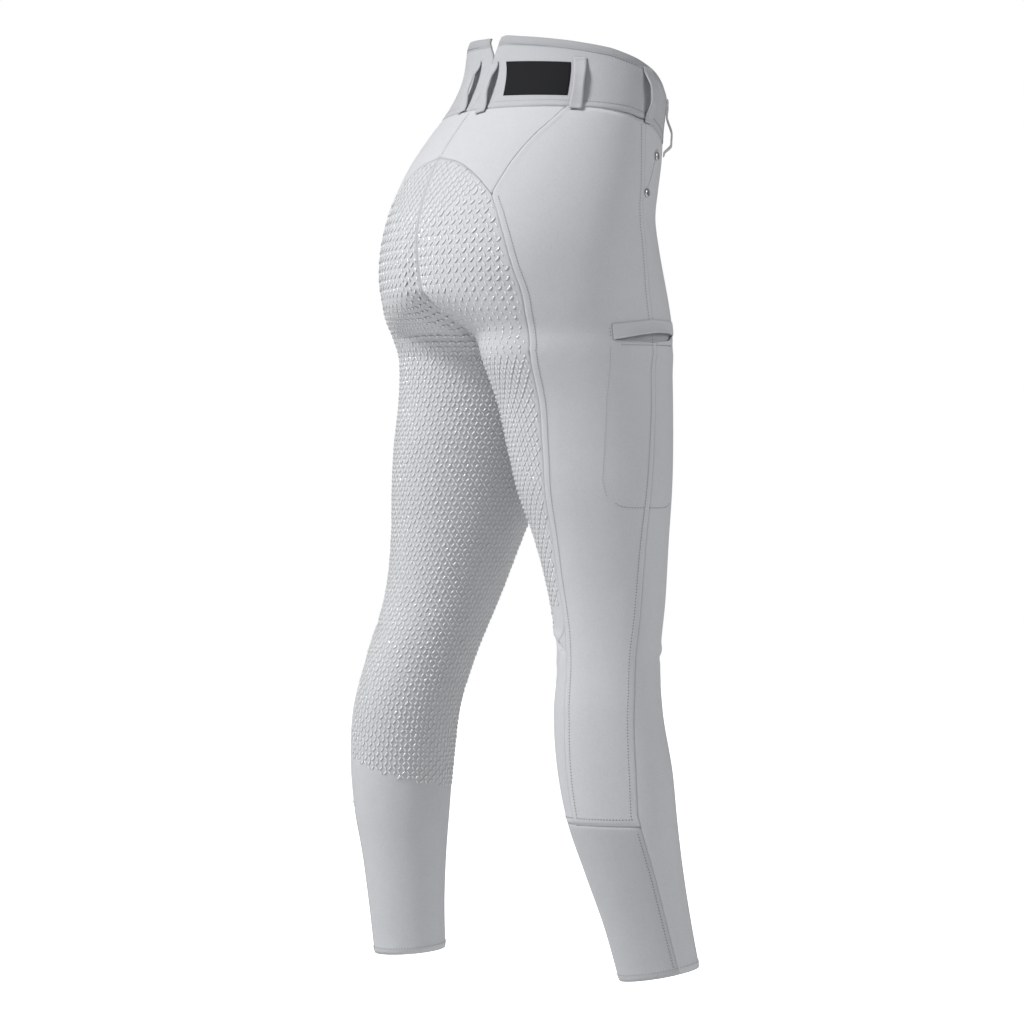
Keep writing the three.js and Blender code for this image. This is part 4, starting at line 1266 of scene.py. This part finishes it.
def add_print(side, kind, seed):
    found = [print_places(side, zone, STROKES[kind]["start"]) for zone in ZONES]
    sizes = [stroke_sizes(kind, zone, places[:, 1]) for zone, places in zip(ZONES, found)]
    (u, z), sizes = np.concatenate(found).T, np.concatenate(sizes)
    rng = np.random.default_rng(seed)
    centres = surface(side, u, z, -0.05)
    normals = normal(side, u, z)
    to_left = (body(side, u + 0.002, z) - body(side, u - 0.002, z)) * -SIGN[side]
    level = laid(to_left, normals)
    rise = np.cross(normals, level)
    turn = np.radians(STROKES[kind]["lean"] + rng.normal(0, 2.5, len(u)))[:, None]
    ways = level * np.cos(turn) + rise * np.sin(turn)
    sizes = sizes * rng.normal(1, 0.07, (len(u), 1))
    shape = dome()
    name = f"grip_{kind}_{side}"
    obj = scatter(name, shape, centres, ways, normals, sizes, SILICONE_MATERIAL)
    # The foot ring of each stroke takes the painted shade material.
    obj.data.materials.append(SILICONE_FOOT_SHADE_MATERIAL)
    painted_shade_faces = np.arange(len(obj.data.polygons)) % len(shape[1]) < SHADED_FOOT_FACES
    obj.data.polygons.foreach_set("material_index", painted_shade_faces.astype(np.int32))


FIRST_SEED = 11


def add_all_print():
    seed = FIRST_SEED
    for side in SIDES:
        for kind in STROKES:
            add_print(side, kind, seed)
            seed += 1


for one_side in SIDES:
    add_band(one_side)
    add_front(one_side)
    add_side(one_side)
    add_yoke(one_side)
    add_seat(one_side)
    add_calf_back(one_side)
    add_insert(one_side)
for loop in LOOPS:
    add_loop(*loop)
add_label_patch()
add_welt()
add_bag()
add_fly()
add_metal()
for one_side in SIDES:
    add_pocket_facing(one_side)
add_all_stitches()
add_all_print()


# Camera, light and floor.

# Each light as its height, its places to the picture's right and towards the camera, its size and
# its power.
LIGHTS = {
    "key": (2.0, -2.25, 1.15, 0.9, 106.0),
    "fill": (0.9, 2.8, 1.2, 1.6, 31.0),
}
LIT_POINT = (0, 0, -0.45)
WORLD_STRENGTH = 0.16
FLOOR_GLOW = 1.2
FLOOR_REACH = 8.0
FLOOR_HEIGHT = -1.02


def add_camera():
    """Puts up the camera. Gives the ways to it from the garment and to the picture's right."""
    turn = math.radians(AZIMUTH)
    toward = Vector((math.sin(turn), -math.cos(turn), 0))
    right = Vector((math.cos(turn), math.sin(turn), 0))
    up = Vector((0, 0, 1))
    data = bpy.data.cameras.new("camera")
    data.sensor_width = SENSOR
    data.lens = SENSOR * PIXELS_PER_METRE * DISTANCE / PICTURE
    data.clip_end = 50
    camera = link_new("camera", data)
    place = toward * DISTANCE + right * AIM_RIGHT + Vector((0, 0, CAMERA_HEIGHT))
    facing = Matrix((right, up, toward)).transposed().to_4x4()
    camera.matrix_world = Matrix.Translation(place) @ facing
    bpy.context.scene.camera = camera
    return toward, right


def add_area_light(name, location, size, power):
    data = bpy.data.lights.new(name, "AREA")
    data.shape = "DISK"
    data.size = size
    data.energy = power
    light = link_new(name, data)
    light.location = location
    light.rotation_euler = (Vector(LIT_POINT) - location).to_track_quat("-Z", "Y").to_euler()


def seen_or_not(tree, seen, unseen):
    """One brightness where the camera looks straight at a thing, another for the light it gives."""
    path = add_node(tree, "ShaderNodeLightPath")
    return spread(tree, path.outputs["Is Camera Ray"], unseen, seen)


def add_stage(toward, right):
    """A wide flat floor, as white to the camera as the world around it."""
    corners = []
    for ahead, across in ((1, -1), (1, 1), (-1, 1), (-1, -1)):
        point = (toward * ahead + right * across) * FLOOR_REACH
        corners.append((point.x * 1000, point.y * 1000, FLOOR_HEIGHT * 1000))
    mesh = mesh_from("floor", corners, [(0, 1, 2, 3)])
    floor = link_new("floor", mesh)
    material, tree, shader = new_material("floor_pale")
    set_inputs(shader, {
        "Base Color": (0.9, 0.9, 0.9, 1), "Roughness": 0.9, "Emission Color": (1, 1, 1, 1),
    })
    tree.links.new(seen_or_not(tree, FLOOR_GLOW, 0.0), shader.inputs["Emission Strength"])
    mesh.materials.append(material)


def set_light(toward, right):
    for name, (height, to_right, ahead, size, power) in LIGHTS.items():
        location = Vector((0, 0, height)) + right * to_right + toward * ahead
        add_area_light(name, location, size, power)
    world = bpy.data.worlds.new("world")
    bpy.context.scene.world = world
    world.use_nodes = True
    tree = world.node_tree
    background = tree.nodes["Background"]
    background.inputs["Color"].default_value = (1, 1, 1, 1)
    tree.links.new(seen_or_not(tree, 1.0, WORLD_STRENGTH), background.inputs["Strength"])
    bpy.context.scene.view_settings.view_transform = "Standard"


toward_camera, picture_right = add_camera()
add_stage(toward_camera, picture_right)
set_light(toward_camera, picture_right)
